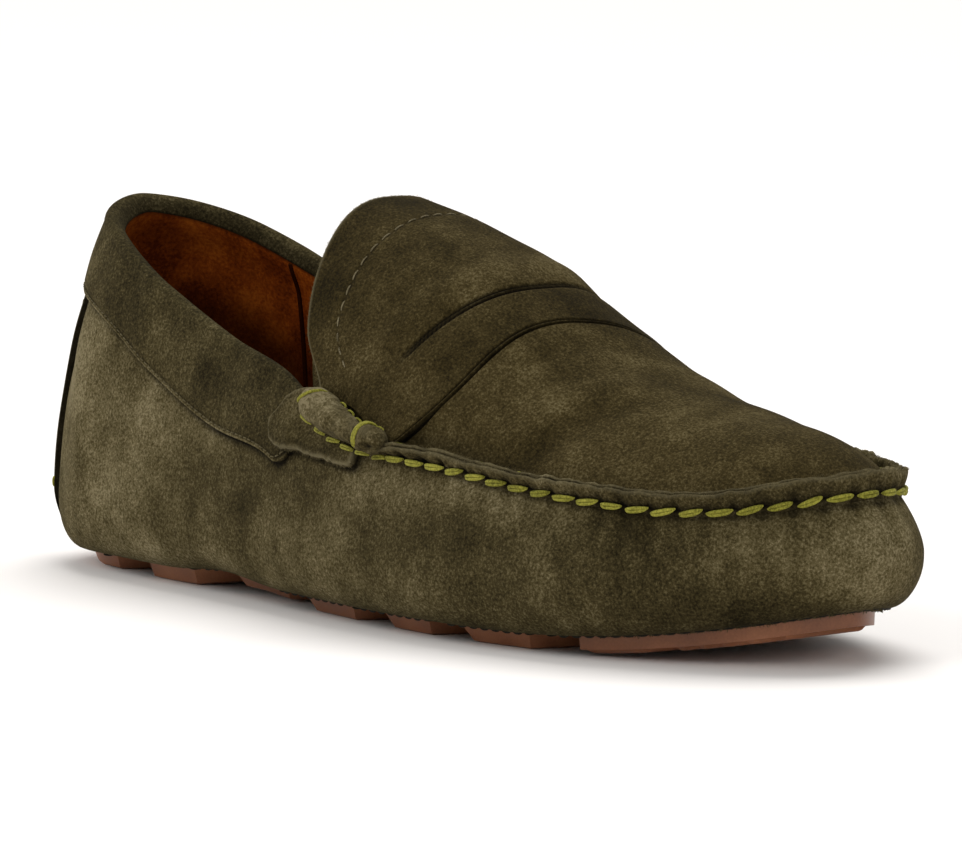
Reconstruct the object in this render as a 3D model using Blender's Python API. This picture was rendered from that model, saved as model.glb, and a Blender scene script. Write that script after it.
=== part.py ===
# Suede driving moccasin, right shoe, standing empty on its sole.
# +X runs from heel to toe, +Y is the inner side of the foot, +Z is up.
# All tables and sizes are in millimetres, and MM turns them into metres.
import bmesh
import bpy
import numpy as np
from mathutils import Vector
from mathutils.geometry import delaunay_2d_cdt

MM = 0.001

# Driving dimensions of the last
LENGTH = 290.0
BALL_WIDTH = 97.5
HEEL_HEIGHT = 92.0
INSTEP_HEIGHT = 97.0

# Plan of the last: share of the length, half widths as shares of the ball width
PLAN_COLUMNS = ("along", "outer", "inner")
PLAN = (
    (0.040, 0.241, 0.246),
    (0.131, 0.354, 0.359),
    (0.274, 0.400, 0.379),
    (0.445, 0.482, 0.415),
    (0.618, 0.533, 0.467),
    (0.766, 0.487, 0.451),
    (0.885, 0.374, 0.369),
    (0.967, 0.202, 0.216),
)
TOE_OFFSET = 0.020

# Top line: share of the length, share of the heel height, lean of the wall to the inside
RIM_COLUMNS = ("along", "height", "lean")
RIM = (
    (0.000, 1.000, 15.5),
    (0.103, 0.929, 11.9),
    (0.207, 0.811, 8.5),
    (0.310, 0.700, 7.8),
    (0.407, 0.622, 8.0),
    (0.455, 0.543, 7.2),
    (0.517, 0.486, 6.5),
    (0.655, 0.442, 7.5),
    (0.793, 0.404, 6.3),
    (0.903, 0.397, 5.0),
    (1.000, 0.450, 7.2),
)

# Middle line of the plug: share of the length, share of the instep height
CROWN_COLUMNS = ("along", "height")
CROWN = (
    (0.400, 1.000),
    (0.450, 0.972),
    (0.552, 0.885),
    (0.690, 0.681),
    (0.828, 0.575),
    (0.931, 0.525),
    (1.000, 0.419),
)

# Sole
LUG_HEIGHT = 4.5
TOE_SPRING = 11.3
TOE_SPRING_START = 203.0
HEEL_CURL = 8.0
HEEL_CURL_START = 24.0
ARCH_RISE = 1.6
ARCH_START = 62.0
ARCH_END = 118.0
RUBBER_EDGE = 10.3
RUBBER_EDGE_HEEL = 4.8
PLATE = 2.0
PLATE_EDGE = 0.85
FOOTBED = 3.6
FOOTBED_EDGE = 5.0
LUG_BEVEL = 1.9
BEVEL_SHARE = 0.3
GROOVE = 0.5
SHOULDER = 0.6
SHOULDER_SLOPE = 0.25

HEEL_BLEND = 40.0

# Wall and plug of the upper
SUEDE = 1.8
GAP = 0.35
TUCK = 8.5
TUCK_HEEL = 3.5
WIDEST = 16.7
WIDEST_CURL = 0.5
LEAN_POWER = 1.7
INNER_RISE = 3.2
INNER_RISE_START = 196.0
THROAT = 131.0
THROAT_BACK = 14.0
THROAT_POWER = 4.3
PLUG_POWER_THROAT = 2.6
PLUG_POWER_TOE = 2.0

# Mesh steps
HEEL_STEPS = 17
FOREPART_STEPS = 22
TUCK_STEPS = 4
WALL_STEPS = 6
PLUG_STEPS = 12
TOE_ARC_STEPS = 17
HEEL_ARC_STEPS = 15
LONGEST_EDGE = 9.0
SHARP_ANGLE = 40.0
OUTLINE_SAMPLES = 400
HEEL_ARC_SAMPLES = 40
LINE_END_ERROR = 1e-9

# Oblique bands of lugs under the forefoot: the line x = at + slant * y of the front and rear edge,
# and the y of each groove on those two lines
BANDS = (
    {"front": (254.5, 0.42), "rear": (240.0, 0.49), "grooves": ((4.0, 11.5), (-8.0, -13.0))},
    {"front": (229.0, 0.50), "rear": (207.5, 0.56), "grooves": ((12.5, 19.4), (-1.3, 2.3), (-18.4, -17.3))},
    {"front": (200.0, 0.59), "rear": (181.0, 0.65), "grooves": ((18.7, 19.7), (-4.3, -4.1), (-25.7, -21.9))},
    {"front": (169.5, 0.66), "rear": (146.5, 0.75), "grooves": ((15.4, 13.0), (-5.9, -3.3), (-22.4, -17.4))},
)
TOE_RIBS = {"first": 259.0, "pitch": 4.0, "count": 5, "width": 2.5, "slant": 0.42,
            "height": 1.3, "end_share": 0.42}

# Single lugs under the waist and the heel: corners x, y
WAIST_LUGS = {
    "inner_triangle": ((154.0, 27.0), (146.0, 14.5), (137.5, 22.5)),
    "inner_quad": ((142.0, 9.0), (134.0, 0.5), (117.5, 19.5), (126.0, 21.0)),
    "middle_bar": ((130.0, -5.5), (121.5, -15.0), (101.0, 8.5), (105.5, 15.0)),
    "outer_quad": ((116.0, -19.0), (108.5, -30.0), (82.5, -27.5), (102.5, -7.5)),
}
HEEL_PAIR = {"corners": ((99.5, 0.0), (70.0, -28.0), (44.0, -26.0), (88.5, 13.0)), "split": (0.52, 0.36)}
DOT = {"centre": (98.0, 18.5), "radius": 2.8, "sides": 10}
HEEL_TRIANGLE = ((83.5, 21.5), (62.0, 2.2), (45.0, 22.0))
HEEL_PAD_FRONT = ((59.5, 0.5), (32.0, -25.0))
HEEL_PAD_INNER = 41.5

# Overlays
COLLAR_BAND = {"drop": 18.0, "edge": 0.9, "middle": 1.7, "top": 1.5, "lining_drop": 10.0, "end": 125.0,
               "bead": 3.4, "bead_fade": 10.0, "bead_gap": 0.5, "rows": 5}
BEAD_ANGLES = (40, 75, 105, 140)
TONGUE = {"thick": 1.6, "front_side": 174.0, "front_crown": 193.0, "front_power": 8.0, "front_skew": 7.5,
          "above_roll": 8.2, "above_seam": 4.4, "gap": 0.55, "rows": 10, "columns": 17}
RIDGE = {"width": 4.4, "height": 5.6, "tip": 2.9, "rounding": 0.8, "from": 164.0,
         "upright": (0.8, 3.0), "upright_over": 30.0}
ROLL_COLUMNS = ("x", "radius")
ROLL = (
    (132.5, 2.2),
    (134.0, 3.7),
    (137.5, 4.3),
    (143.5, 4.1),
    (149.5, 3.7),
    (154.0, 3.1),
    (155.5, 2.6),
    (157.0, 3.2),
    (159.0, 3.6),
    (161.0, 3.2),
    (162.5, 1.9),
)
ROLL_SIDES = 10
ROLL_OUT = 3.5
ROLL_UP = 3.9
FLAP_COLUMNS = ("x", "drop", "out")
FLAP = (
    (118.0, 8.0, 2.3),
    (121.5, 11.0, 2.3),
    (127.0, 11.0, 2.3),
    (133.5, 9.0, 0.8),
    (143.0, 6.8, 0.7),
    (154.5, 4.6, 0.7),
)
FLAP_THICK = 1.5
FLAP_TOP = 1.6
FLAP_ROWS = 4
STRIP = {"half_width": 24.0, "thick": 1.1, "bottom": 22.0, "columns": 17, "rows": 8, "reach": 0.15}

# Finishes: colour, roughness
FINISHES = {
    "suede": ((0.062, 0.055, 0.026, 1.0), 0.95),
    "suede_plug": ((0.058, 0.049, 0.023, 1.0), 0.95),
    "lining": ((0.240, 0.075, 0.018, 1.0), 0.9),
    "rubber": ((0.200, 0.075, 0.038, 1.0), 0.55),
}


def column(table, columns, name):
    return np.array([row[columns.index(name)] for row in table])


def smooth(x, xs, ys):
    # Cubic curve through the rows of a table, level with the end rows outside them
    slopes = np.gradient(ys, xs)
    x = np.clip(np.asarray(x, dtype=float), xs[0], xs[-1])
    k = np.clip(np.searchsorted(xs, x) - 1, 0, len(xs) - 2)
    span = xs[k + 1] - xs[k]
    t = (x - xs[k]) / span
    start = ys[k] * (1 + 2 * t) * (1 - t) ** 2 + ys[k + 1] * t * t * (3 - 2 * t)
    return start + span * (slopes[k] * t * (1 - t) ** 2 - slopes[k + 1] * t * t * (1 - t))


def closed_curve(points, knots):
    # Second derivatives of the closed cubic spline through the points
    count = len(points)
    span = np.diff(knots)
    matrix = np.zeros((count, count))
    right = np.zeros((count, 2))
    for i in range(count):
        before = span[i - 1]
        after = span[i]
        matrix[i, i - 1] += before
        matrix[i, i] += 2 * (before + after)
        matrix[i, (i + 1) % count] += after
        rise = (points[(i + 1) % count] - points[i]) / after
        fall = (points[i] - points[i - 1]) / before
        right[i] = 6 * (rise - fall)
    return np.linalg.solve(matrix, right)


def plan_points():
    along = column(PLAN, PLAN_COLUMNS, "along") * LENGTH
    outer = -column(PLAN, PLAN_COLUMNS, "outer") * BALL_WIDTH
    inner = column(PLAN, PLAN_COLUMNS, "inner") * BALL_WIDTH
    heel = [(0.0, 0.0)]
    toe = [(LENGTH, TOE_OFFSET * BALL_WIDTH)]
    return np.array(heel + list(zip(along, outer)) + toe + list(zip(along, inner))[::-1])


PLAN_POINTS = plan_points()
CHORDS = np.linalg.norm(np.diff(np.vstack([PLAN_POINTS, PLAN_POINTS[:1]]), axis=0), axis=1)
KNOTS = np.concatenate([[0.0], np.cumsum(np.sqrt(CHORDS))])
BENDING = closed_curve(PLAN_POINTS, KNOTS)
TOE_KNOT = KNOTS[len(PLAN) + 1]


def outline(t):
    # Point and outward normal of the plan outline at the spline's parameter
    t = np.asarray(t, dtype=float) % KNOTS[-1]
    k = np.clip(np.searchsorted(KNOTS, t, side="right") - 1, 0, len(PLAN_POINTS) - 1)
    after = (k + 1) % len(PLAN_POINTS)
    h = (KNOTS[k + 1] - KNOTS[k])[..., None]
    a = (KNOTS[k + 1] - t)[..., None] / h
    b = 1 - a
    p = PLAN_POINTS[k]
    q = PLAN_POINTS[after]
    m = BENDING[k]
    n = BENDING[after]
    point = a * p + b * q + ((a ** 3 - a) * m + (b ** 3 - b) * n) * h * h / 6
    run = (q - p) / h + ((1 - 3 * a * a) * m + (3 * b * b - 1) * n) * h / 6
    normal = np.stack([run[..., 1], -run[..., 0]], axis=-1)
    return point, normal / np.linalg.norm(normal, axis=-1, keepdims=True)


OUTER_T = np.linspace(0, TOE_KNOT, OUTLINE_SAMPLES)
INNER_T = np.linspace(KNOTS[-1], TOE_KNOT, OUTLINE_SAMPLES)
OUTER_LINE = outline(OUTER_T)[0]
INNER_LINE = outline(INNER_T)[0]


def outline_t(x, side):
    # Parameter of the outline at a distance from the heel, on the outer (-1) or inner (+1) side
    if side < 0:
        return np.interp(x, OUTER_LINE[:, 0], OUTER_T)
    return np.interp(x, INNER_LINE[:, 0], INNER_T)


def toe_spring(x):
    return TOE_SPRING * (np.clip(x - TOE_SPRING_START, 0, None) / (LENGTH - TOE_SPRING_START)) ** 2


def heel_curl(x):
    return HEEL_CURL * (np.clip(HEEL_CURL_START - x, 0, None) / HEEL_CURL_START) ** 2


def tread(x):
    # Height of the walking surface over the floor
    arch = np.clip((x - ARCH_START) / (ARCH_END - ARCH_START), 0, 1)
    return toe_spring(x) + heel_curl(x) + ARCH_RISE * np.sin(np.pi * arch) ** 2


def tread_slope(x):
    return tread(x + 0.5) - tread(x - 0.5)


def layer(x, depth):
    # Height at a depth over the outer face of the suede bottom, square to its slope
    return tread(x) + LUG_HEIGHT + depth * np.sqrt(1 + tread_slope(x) ** 2)


def tuck(x):
    return np.interp(x, (0.0, HEEL_BLEND), (TUCK_HEEL, TUCK))


def rubber_edge(x):
    return np.interp(x, (0.0, HEEL_BLEND), (RUBBER_EDGE_HEEL, RUBBER_EDGE))


def rim_height(x):
    # Top edge of the suede, which lies inside the bead of the collar band behind the throat
    along = column(RIM, RIM_COLUMNS, "along") * LENGTH
    top = smooth(x, along, column(RIM, RIM_COLUMNS, "height") * HEEL_HEIGHT)
    return top - COLLAR_BAND["bead"] * np.clip((THROAT - x) / COLLAR_BAND["bead_fade"], 0, 1)


def rim_lean(x):
    return smooth(x, column(RIM, RIM_COLUMNS, "along") * LENGTH, column(RIM, RIM_COLUMNS, "lean"))


def crown_height(x):
    along = column(CROWN, CROWN_COLUMNS, "along") * LENGTH
    return smooth(x, along, column(CROWN, CROWN_COLUMNS, "height") * INSTEP_HEIGHT)


def widest(x):
    return WIDEST + toe_spring(x) + WIDEST_CURL * heel_curl(x)


def wall_section(x, share):
    # Offset from the outline and height at a share of the wall over its widest line, and the outward normal
    lean = rim_lean(x)
    low = widest(x)
    rise = rim_height(x) - low
    across = np.stack([rise, LEAN_POWER * lean * share ** (LEAN_POWER - 1)], axis=-1)
    across = across / np.linalg.norm(across, axis=-1, keepdims=True)
    return -lean * share ** LEAN_POWER, low + rise * share, across


def inner_rise(t, x):
    # The rim stands higher on the inner side of the toe
    ahead = np.clip((x - INNER_RISE_START) / (LENGTH - INNER_RISE_START), 0, 1)
    return np.where(t > TOE_KNOT, INNER_RISE * np.sin(np.pi * ahead) ** 2, 0.0)


def wall_point(t, share, out=0.0):
    # Point on the wall's outer face, or at a distance outside it
    point, normal = outline(t)
    offset, height, across = wall_section(point[..., 0], share)
    height = height + share * inner_rise(t, point[..., 0])
    plan = point + normal * (offset + out * across[..., 0])[..., None]
    return np.concatenate([plan, (height + out * across[..., 1])[..., None]], axis=-1)


def wall_columns():
    # Outline parameters of the wall's columns: heel, outer throat, toe, inner throat, and back to the heel
    outer = outline_t(THROAT, -1)
    inner = outline_t(THROAT, 1)
    return np.concatenate([
        np.linspace(0, outer, HEEL_STEPS, endpoint=False),
        np.linspace(outer, TOE_KNOT, FOREPART_STEPS, endpoint=False),
        np.linspace(TOE_KNOT, inner, FOREPART_STEPS, endpoint=False),
        np.linspace(inner, KNOTS[-1], HEEL_STEPS, endpoint=False),
    ])


def ring(inset_of):
    # The outline drawn inwards by a distance that depends on x, one point for each wall column
    point, normal = outline(wall_columns())
    return point - normal * inset_of(point[:, 0])[:, None]


def wall_rows():
    # Rows of the upper's outer face, from the edge of its bottom to the rim
    t = wall_columns()
    point, normal = outline(t)
    bottom = ring(tuck)
    low = tread(bottom[:, 0]) + LUG_HEIGHT
    middle = widest(point[:, 0])
    rows = []
    for k in range(TUCK_STEPS):
        angle = 0.5 * np.pi * k / TUCK_STEPS
        plan = bottom + (point - bottom) * np.sin(angle)
        rows.append(np.column_stack([plan, low + (middle - low) * (1 - np.cos(angle))]))
    for k in range(WALL_STEPS + 1):
        rows.append(wall_point(t, k / WALL_STEPS))
    return rows


def plug_power(step):
    # The plug is arched full at the throat and flatter at the toe
    return PLUG_POWER_THROAT + (PLUG_POWER_TOE - PLUG_POWER_THROAT) * step / FOREPART_STEPS


def plug_point(outer, inner, step, across):
    # Point on the plug between two rim points, from -1 on the outer side to +1 on the inner side
    ahead = step / FOREPART_STEPS
    back = THROAT_BACK * (1 - ahead) ** 3
    middle = 0.5 * (outer + inner)
    rise = crown_height(middle[0] - back) - middle[2]
    point = outer + (inner - outer) * 0.5 * (across + 1)
    point = point - np.array([back * (1 - abs(across) ** THROAT_POWER), 0, 0])
    return point + np.array([0, 0, rise * (1 - abs(across) ** plug_power(step))])


PLUG_ACROSS = np.sin(0.5 * np.pi * np.linspace(-1, 1, PLUG_STEPS + 1))


def rim_pair(step):
    # Rim points of the two sides at a step, which need not be whole, from the throat (0) to the toe
    share = step / FOREPART_STEPS
    pair = []
    for side in (-1, 1):
        start = outline_t(THROAT, side)
        pair.append(wall_point(np.array(start + (TOE_KNOT - start) * share), 1.0))
    return pair


def plug_grid(steps):
    return np.array([[plug_point(*rim_pair(s), s, a) for a in PLUG_ACROSS] for s in steps])


def inset(polygon, distance):
    # Convex polygon with every edge moved inwards
    points = np.asarray(polygon, dtype=float)
    if area(points) < 0:
        points = points[::-1]
    result = []
    for i in range(len(points)):
        a = points[i - 1]
        b = points[i]
        c = points[(i + 1) % len(points)]
        first = (b - a) / np.linalg.norm(b - a)
        second = (c - b) / np.linalg.norm(c - b)
        left = np.array([-first[1], first[0]])
        right = np.array([-second[1], second[0]])
        result.append(b + (left + right) * distance / (1 + left @ right))
    return np.array(result)


def area(points):
    x = points[:, 0]
    y = points[:, 1]
    return 0.5 * np.sum(x * np.roll(y, -1) - y * np.roll(x, -1))


def line_end(line, side):
    # Where an oblique line of the tread meets the edge of the rubber
    at, slant = line
    low = 0.0
    high = BALL_WIDTH
    while high - low > LINE_END_ERROR:
        middle = 0.5 * (low + high)
        if within(RUBBER_LOOP, (at + slant * side * middle, side * middle)):
            low = middle
        else:
            high = middle
    return np.array([at + slant * side * low, side * low])


def on_line(line, y):
    return np.array([line[0] + line[1] * y, y])


def rubber_arc(start, end, count):
    # Points along the edge of the rubber between two outline parameters
    point, normal = outline(np.linspace(start, end, count))
    return point - normal * rubber_edge(point[:, 0])[:, None]


RUBBER_LOOP = rubber_arc(0, KNOTS[-1], OUTLINE_SAMPLES)[:-1]


def band_lugs(band):
    # Base corners of the lugs of one band, from the inner to the outer side
    front = [line_end(band["front"], 1)]
    rear = [line_end(band["rear"], 1)]
    for front_y, rear_y in band["grooves"]:
        front.append(on_line(band["front"], front_y))
        rear.append(on_line(band["rear"], rear_y))
    front.append(line_end(band["front"], -1))
    rear.append(line_end(band["rear"], -1))
    return [np.array([front[k], front[k + 1], rear[k + 1], rear[k]]) for k in range(len(front) - 1)]


def band_outline(band):
    ends = [line_end(band["front"], 1), line_end(band["front"], -1)]
    return np.array(ends + [line_end(band["rear"], -1), line_end(band["rear"], 1)])


def toe_outline():
    # Window of the ribbed toe pad and the first band of lugs
    rear = BANDS[0]["rear"]
    outer = line_end(rear, -1)
    inner = line_end(rear, 1)
    arc = rubber_arc(outline_t(outer[0], -1), outline_t(inner[0], 1), TOE_ARC_STEPS)
    return np.vstack([outer, arc[1:-1], inner])


def toe_ribs(clear):
    # Ribs of the toe pad, which end at a distance from the edge of the rubber
    half = 0.5 * TOE_RIBS["width"]
    ribs = []
    for k in range(TOE_RIBS["count"]):
        at = TOE_RIBS["first"] + TOE_RIBS["pitch"] * k
        rear = (at - half, TOE_RIBS["slant"])
        front = (at + half, TOE_RIBS["slant"])
        reach = [side * (abs(line_end(front, side)[1]) - clear / TOE_RIBS["end_share"]) for side in (1, -1)]
        ribs.append(np.array([on_line(rear, reach[0]), on_line(rear, reach[1]),
                              on_line(front, reach[1]), on_line(front, reach[0])]))
    return ribs


def heel_outline():
    # Window of the heel triangle and the heel pad that reaches round the heel back
    outer = HEEL_PAD_FRONT[1]
    inner_t = outline_t(HEEL_PAD_INNER, 1) - KNOTS[-1]
    arc = rubber_arc(outline_t(outer[0], -1), inner_t, HEEL_ARC_STEPS)
    return np.vstack([HEEL_TRIANGLE[0], HEEL_TRIANGLE[1], arc])


def heel_pad():
    arc = heel_outline()[2:]
    return np.vstack([HEEL_PAD_FRONT[0], arc])


def tread_blocks():
    # Each window in the suede, with the base corners of the lugs that stand in it
    blocks = [(toe_outline(), band_lugs(BANDS[0]))]
    blocks += [(band_outline(band), band_lugs(band)) for band in BANDS[1:]]
    blocks += [(np.array(corners), [np.array(corners)]) for corners in WAIST_LUGS.values()]
    a, b, c, d = (np.array(corner) for corner in HEEL_PAIR["corners"])
    front, rear = HEEL_PAIR["split"]
    cut = (a + (b - a) * front, d + (c - d) * (1 - rear))
    pair = [np.array([a, cut[0], cut[1], d]), np.array([cut[0], b, c, cut[1]])]
    blocks.append((np.array([a, b, c, d]), pair))
    turn = 2 * np.pi * np.arange(DOT["sides"]) / DOT["sides"]
    dot = np.array(DOT["centre"]) + DOT["radius"] * np.column_stack([np.cos(turn), np.sin(turn)])
    blocks.append((dot, [dot]))
    blocks.append((heel_outline(), [np.array(HEEL_TRIANGLE), heel_pad()]))
    return blocks


def fill(loops, keep):
    # Triangles of a flat region bounded by closed loops, and all its points
    points = np.vstack(loops)
    edges = []
    start = 0
    for loop in loops:
        count = len(loop)
        edges += [(start + i, start + (i + 1) % count) for i in range(count)]
        start += count
    result = delaunay_2d_cdt([Vector(p) for p in points], edges, [], 0, 1e-6)
    found = result[0]
    faces = result[2]
    if len(found) != len(points):
        raise ValueError("lines cross at %s" % [tuple(round(c, 1) for c in p) for p in found[len(points):]])
    triangles = []
    for face in faces:
        corners = np.array([found[i] for i in face])
        centre = corners.mean(axis=0)
        if keep(centre):
            triangles.append(tuple(face) if area(corners) > 0 else tuple(face)[::-1])
    return points, triangles


def within(polygon, point):
    a = np.asarray(polygon)
    b = np.roll(a, -1, axis=0)
    crossing = (a[:, 1] > point[1]) != (b[:, 1] > point[1])
    rise = np.where(b[:, 1] == a[:, 1], 1.0, b[:, 1] - a[:, 1])
    x = a[:, 0] + (point[1] - a[:, 1]) * (b[:, 0] - a[:, 0]) / rise
    return np.count_nonzero(crossing & (x > point[0])) % 2 == 1


def divided(polygon):
    # Polygon with its long edges cut into shorter ones, so that it can follow a curved surface
    result = []
    for a, b in zip(polygon, np.roll(polygon, -1, axis=0)):
        count = max(1, int(np.ceil(np.linalg.norm(b - a) / LONGEST_EDGE)))
        result += [a + (b - a) * k / count for k in range(count)]
    return np.array(result)


def new_object(name, points, faces, finish, parent):
    mesh = bpy.data.meshes.new(name)
    mesh.from_pydata([tuple(MM * c for c in p) for p in points], [], [tuple(f) for f in faces])
    work = bmesh.new()
    work.from_mesh(mesh)
    bmesh.ops.recalc_face_normals(work, faces=work.faces)
    bmesh.ops.triangulate(work, faces=[f for f in work.faces if len(f.verts) > 4])
    work.to_mesh(mesh)
    work.free()
    mesh.shade_smooth()
    mesh.set_sharp_from_angle(angle=np.radians(SHARP_ANGLE))
    item = bpy.data.objects.new(name, mesh)
    item.data.materials.append(finish)
    item.parent = parent
    bpy.context.scene.collection.objects.link(item)
    return item


def loft(sections):
    # Points and faces of a capped tube through sections with equal numbers of points
    sections = np.asarray(sections)
    count, sides = sections.shape[:2]
    faces = [tuple(range(sides)), tuple(range((count - 1) * sides, count * sides))]
    for i in range(count - 1):
        for j in range(sides):
            k = (j + 1) % sides
            faces.append((i * sides + j, (i + 1) * sides + j, (i + 1) * sides + k, i * sides + k))
    return sections.reshape(-1, 3), faces


def patch(outside, inside):
    # Closed solid between two equal grids of points
    outside = np.asarray(outside)
    rows, columns = outside.shape[:2]
    points = np.vstack([outside.reshape(-1, 3), np.asarray(inside).reshape(-1, 3)])
    half = rows * columns
    faces = []
    for i in range(rows - 1):
        for j in range(columns - 1):
            a = i * columns + j
            d = a + columns
            faces += [(a, a + 1, d + 1, d), (half + d, half + d + 1, half + a + 1, half + a)]
    edge = list(range(columns))
    edge += [i * columns + columns - 1 for i in range(1, rows)]
    edge += [(rows - 1) * columns + j for j in range(columns - 2, -1, -1)]
    edge += [i * columns for i in range(rows - 2, 0, -1)]
    for a, b in zip(edge, edge[1:] + edge[:1]):
        faces.append((a, half + a, half + b, b))
    return points, faces


def slab(loop, low, high):
    # Closed solid between two surfaces over one flat loop
    flat, triangles = fill([loop], lambda centre: within(loop, centre))
    count = len(loop)
    bottom = np.column_stack([flat, low(flat[:, 0])])
    top = np.column_stack([flat, high(flat[:, 0])])
    faces = [t[::-1] for t in triangles] + [tuple(count + i for i in t) for t in triangles]
    faces += [(i, (i + 1) % count, count + (i + 1) % count, count + i) for i in range(count)]
    return np.vstack([bottom, top]), faces


def make_upper(parent, finish):
    # Wall, plug and bottom as one sheet of suede, open at the collar and at the lug windows
    rows = wall_rows()
    columns = len(rows[0])
    points = [p for row in rows for p in row]
    faces = []
    for k in range(len(rows) - 1):
        for i in range(columns):
            j = (i + 1) % columns
            faces.append((k * columns + i, k * columns + j, (k + 1) * columns + j, (k + 1) * columns + i))
    rim = (len(rows) - 1) * columns
    toe = rim + HEEL_STEPS + FOREPART_STEPS
    grid = plug_grid(range(FOREPART_STEPS))
    index = []
    for step in range(FOREPART_STEPS):
        start = len(points)
        points += list(grid[step][1:-1])
        outer = rim + HEEL_STEPS + step
        inner = rim + HEEL_STEPS + 2 * FOREPART_STEPS - step
        index.append([outer] + list(range(start, start + PLUG_STEPS - 1)) + [inner])
    index.append([toe] * (PLUG_STEPS + 1))
    for near, far in zip(index, index[1:]):
        for k in range(PLUG_STEPS):
            corners = (near[k], far[k], far[k + 1], near[k + 1])
            faces.append(tuple(dict.fromkeys(corners)))
    border = np.array(rows[0])[:, :2]
    windows = [divided(window) for window, _ in tread_blocks()]
    flat, triangles = fill(
        [border] + windows,
        lambda centre: within(border, centre) and not any(within(w, centre) for w in windows))
    start = len(points) - columns
    points += [np.array([x, y, tread(x) + LUG_HEIGHT]) for x, y in flat[columns:]]
    for triangle in triangles:
        faces.append(tuple(i if i < columns else start + i for i in triangle)[::-1])
    item = new_object("upper", points, faces, finish, parent)
    thickness = item.modifiers.new("suede", "SOLIDIFY")
    thickness.thickness = SUEDE * MM
    thickness.offset = -1
    thickness.use_even_offset = True
    return item


def make_outsole(parent, finish):
    # Moulded rubber unit: plate inside the suede, and lugs that come out through the windows
    plate = SUEDE + GAP
    border = ring(lambda x: tuck(x) + PLATE_EDGE)
    loops = [border]
    depths = [plate]
    for number, (window, lugs) in enumerate(tread_blocks()):
        clear = GAP + SUEDE * np.abs(tread_slope(window[:, 0])).max()
        base = inset(window, clear)
        pad = -SHOULDER
        feet = [inset(lug, clear + SHOULDER_SLOPE + GROOVE) for lug in lugs]
        if number == 0:
            pad = TOE_RIBS["height"] - LUG_HEIGHT
            feet += toe_ribs(clear + 2 * SHOULDER_SLOPE)
        loops += [divided(base), divided(inset(base, SHOULDER_SLOPE))]
        depths += [plate, pad]
        bevel = LUG_BEVEL * np.sqrt(1 + pad / LUG_HEIGHT)
        for foot in feet:
            top = inset(foot, min(bevel, BEVEL_SHARE * narrowest(foot)))
            loops += [divided(foot), divided(top)]
            depths += [pad, -LUG_HEIGHT]
    flat, triangles = fill(loops, lambda centre: within(border, centre))
    depth = np.concatenate([np.full(len(loop), value) for loop, value in zip(loops, depths)])
    low = np.where(depth > 0, layer(flat[:, 0], depth), tread(flat[:, 0]) + LUG_HEIGHT + depth)
    high_flat, high_triangles = fill([border], lambda centre: within(border, centre))
    high = layer(high_flat[:, 0], plate + PLATE)
    points = np.vstack([np.column_stack([flat, low]), np.column_stack([high_flat, high])])
    start = len(flat)
    count = len(border)
    faces = [t[::-1] for t in triangles] + [tuple(start + i for i in t) for t in high_triangles]
    faces += [(i, (i + 1) % count, start + (i + 1) % count, start + i) for i in range(count)]
    return new_object("outsole", points, faces, finish, parent)


def narrowest(polygon):
    # Smallest width of a convex polygon
    points = np.asarray(polygon)
    widths = []
    for a, b in zip(points, np.roll(points, -1, axis=0)):
        across = np.array([a[1] - b[1], b[0] - a[0]]) / np.linalg.norm(b - a)
        reach = (points - a) @ across
        widths.append(reach.max() - reach.min())
    return min(widths)


def make_insole(parent, finish):
    low = SUEDE + PLATE + 2 * GAP
    loop = ring(lambda x: np.full_like(x, FOOTBED_EDGE))
    points, faces = slab(loop, lambda x: layer(x, low), lambda x: layer(x, low + FOOTBED))
    return new_object("insole", points, faces, finish, parent)


def make_tongue(parent, finish):
    # Saddle and tongue piece on the plug, from the free edge of the throat to its front seam
    side_step = step_at(TONGUE["front_side"])
    crown_step = step_at(TONGUE["front_crown"])
    skew = step_at(TONGUE["front_crown"] + TONGUE["front_skew"]) - crown_step
    grid = []
    for k in range(TONGUE["rows"]):
        line = []
        for angle in np.linspace(-0.5 * np.pi, 0.5 * np.pi, TONGUE["columns"]):
            share = np.sin(angle)
            front = crown_step + skew * share + (side_step - crown_step) * abs(share) ** TONGUE["front_power"]
            step = front * k / (TONGUE["rows"] - 1)
            line.append(plug_point(*rim_pair(step), step, share * tongue_reach(step, side_step)))
        grid.append(line)
    grid = np.array(grid)
    normal = grid_normals(grid)
    points, faces = patch(grid + normal * (TONGUE["gap"] + TONGUE["thick"]), grid + normal * TONGUE["gap"])
    return new_object("tongue", points, faces, finish, parent)


def tongue_reach(step, front):
    # Share of the plug's half width at which the tongue stops, above the roll and then above the seam
    outer, inner = rim_pair(step)
    middle = plug_point(outer, inner, step, 0.0)
    rise = middle[2] - 0.5 * (outer[2] + inner[2])
    ahead = np.clip((step - step_at(ROLL[0][0])) / (front - step_at(ROLL[0][0])), 0, 1)
    clear = TONGUE["above_roll"] + (TONGUE["above_seam"] - TONGUE["above_roll"]) * ahead ** 2
    return (1 - clear / rise) ** (1 / plug_power(step))


def step_at(x):
    start = outline_t(THROAT, -1)
    return FOREPART_STEPS * (outline_t(x, -1) - start) / (TOE_KNOT - start)


def grid_normals(grid):
    along = np.gradient(grid, axis=0)
    across = np.gradient(grid, axis=1)
    normal = np.cross(along, across)
    return normal / np.linalg.norm(normal, axis=-1, keepdims=True)


def make_collar(parent, finish):
    # Padded band round the top line: over the wall outside, over its edge, and a little way down inside
    t = wall_columns()
    columns = list(range(HEEL_STEPS + 2 * FOREPART_STEPS + 1, len(t))) + list(range(HEEL_STEPS))
    sections = []
    for i in columns:
        if outline(t[i])[0][0] < COLLAR_BAND["end"]:
            sections.append(collar_section(t[i]))
    points, faces = loft(sections)
    return new_object("collar", points, faces, finish, parent)


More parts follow.
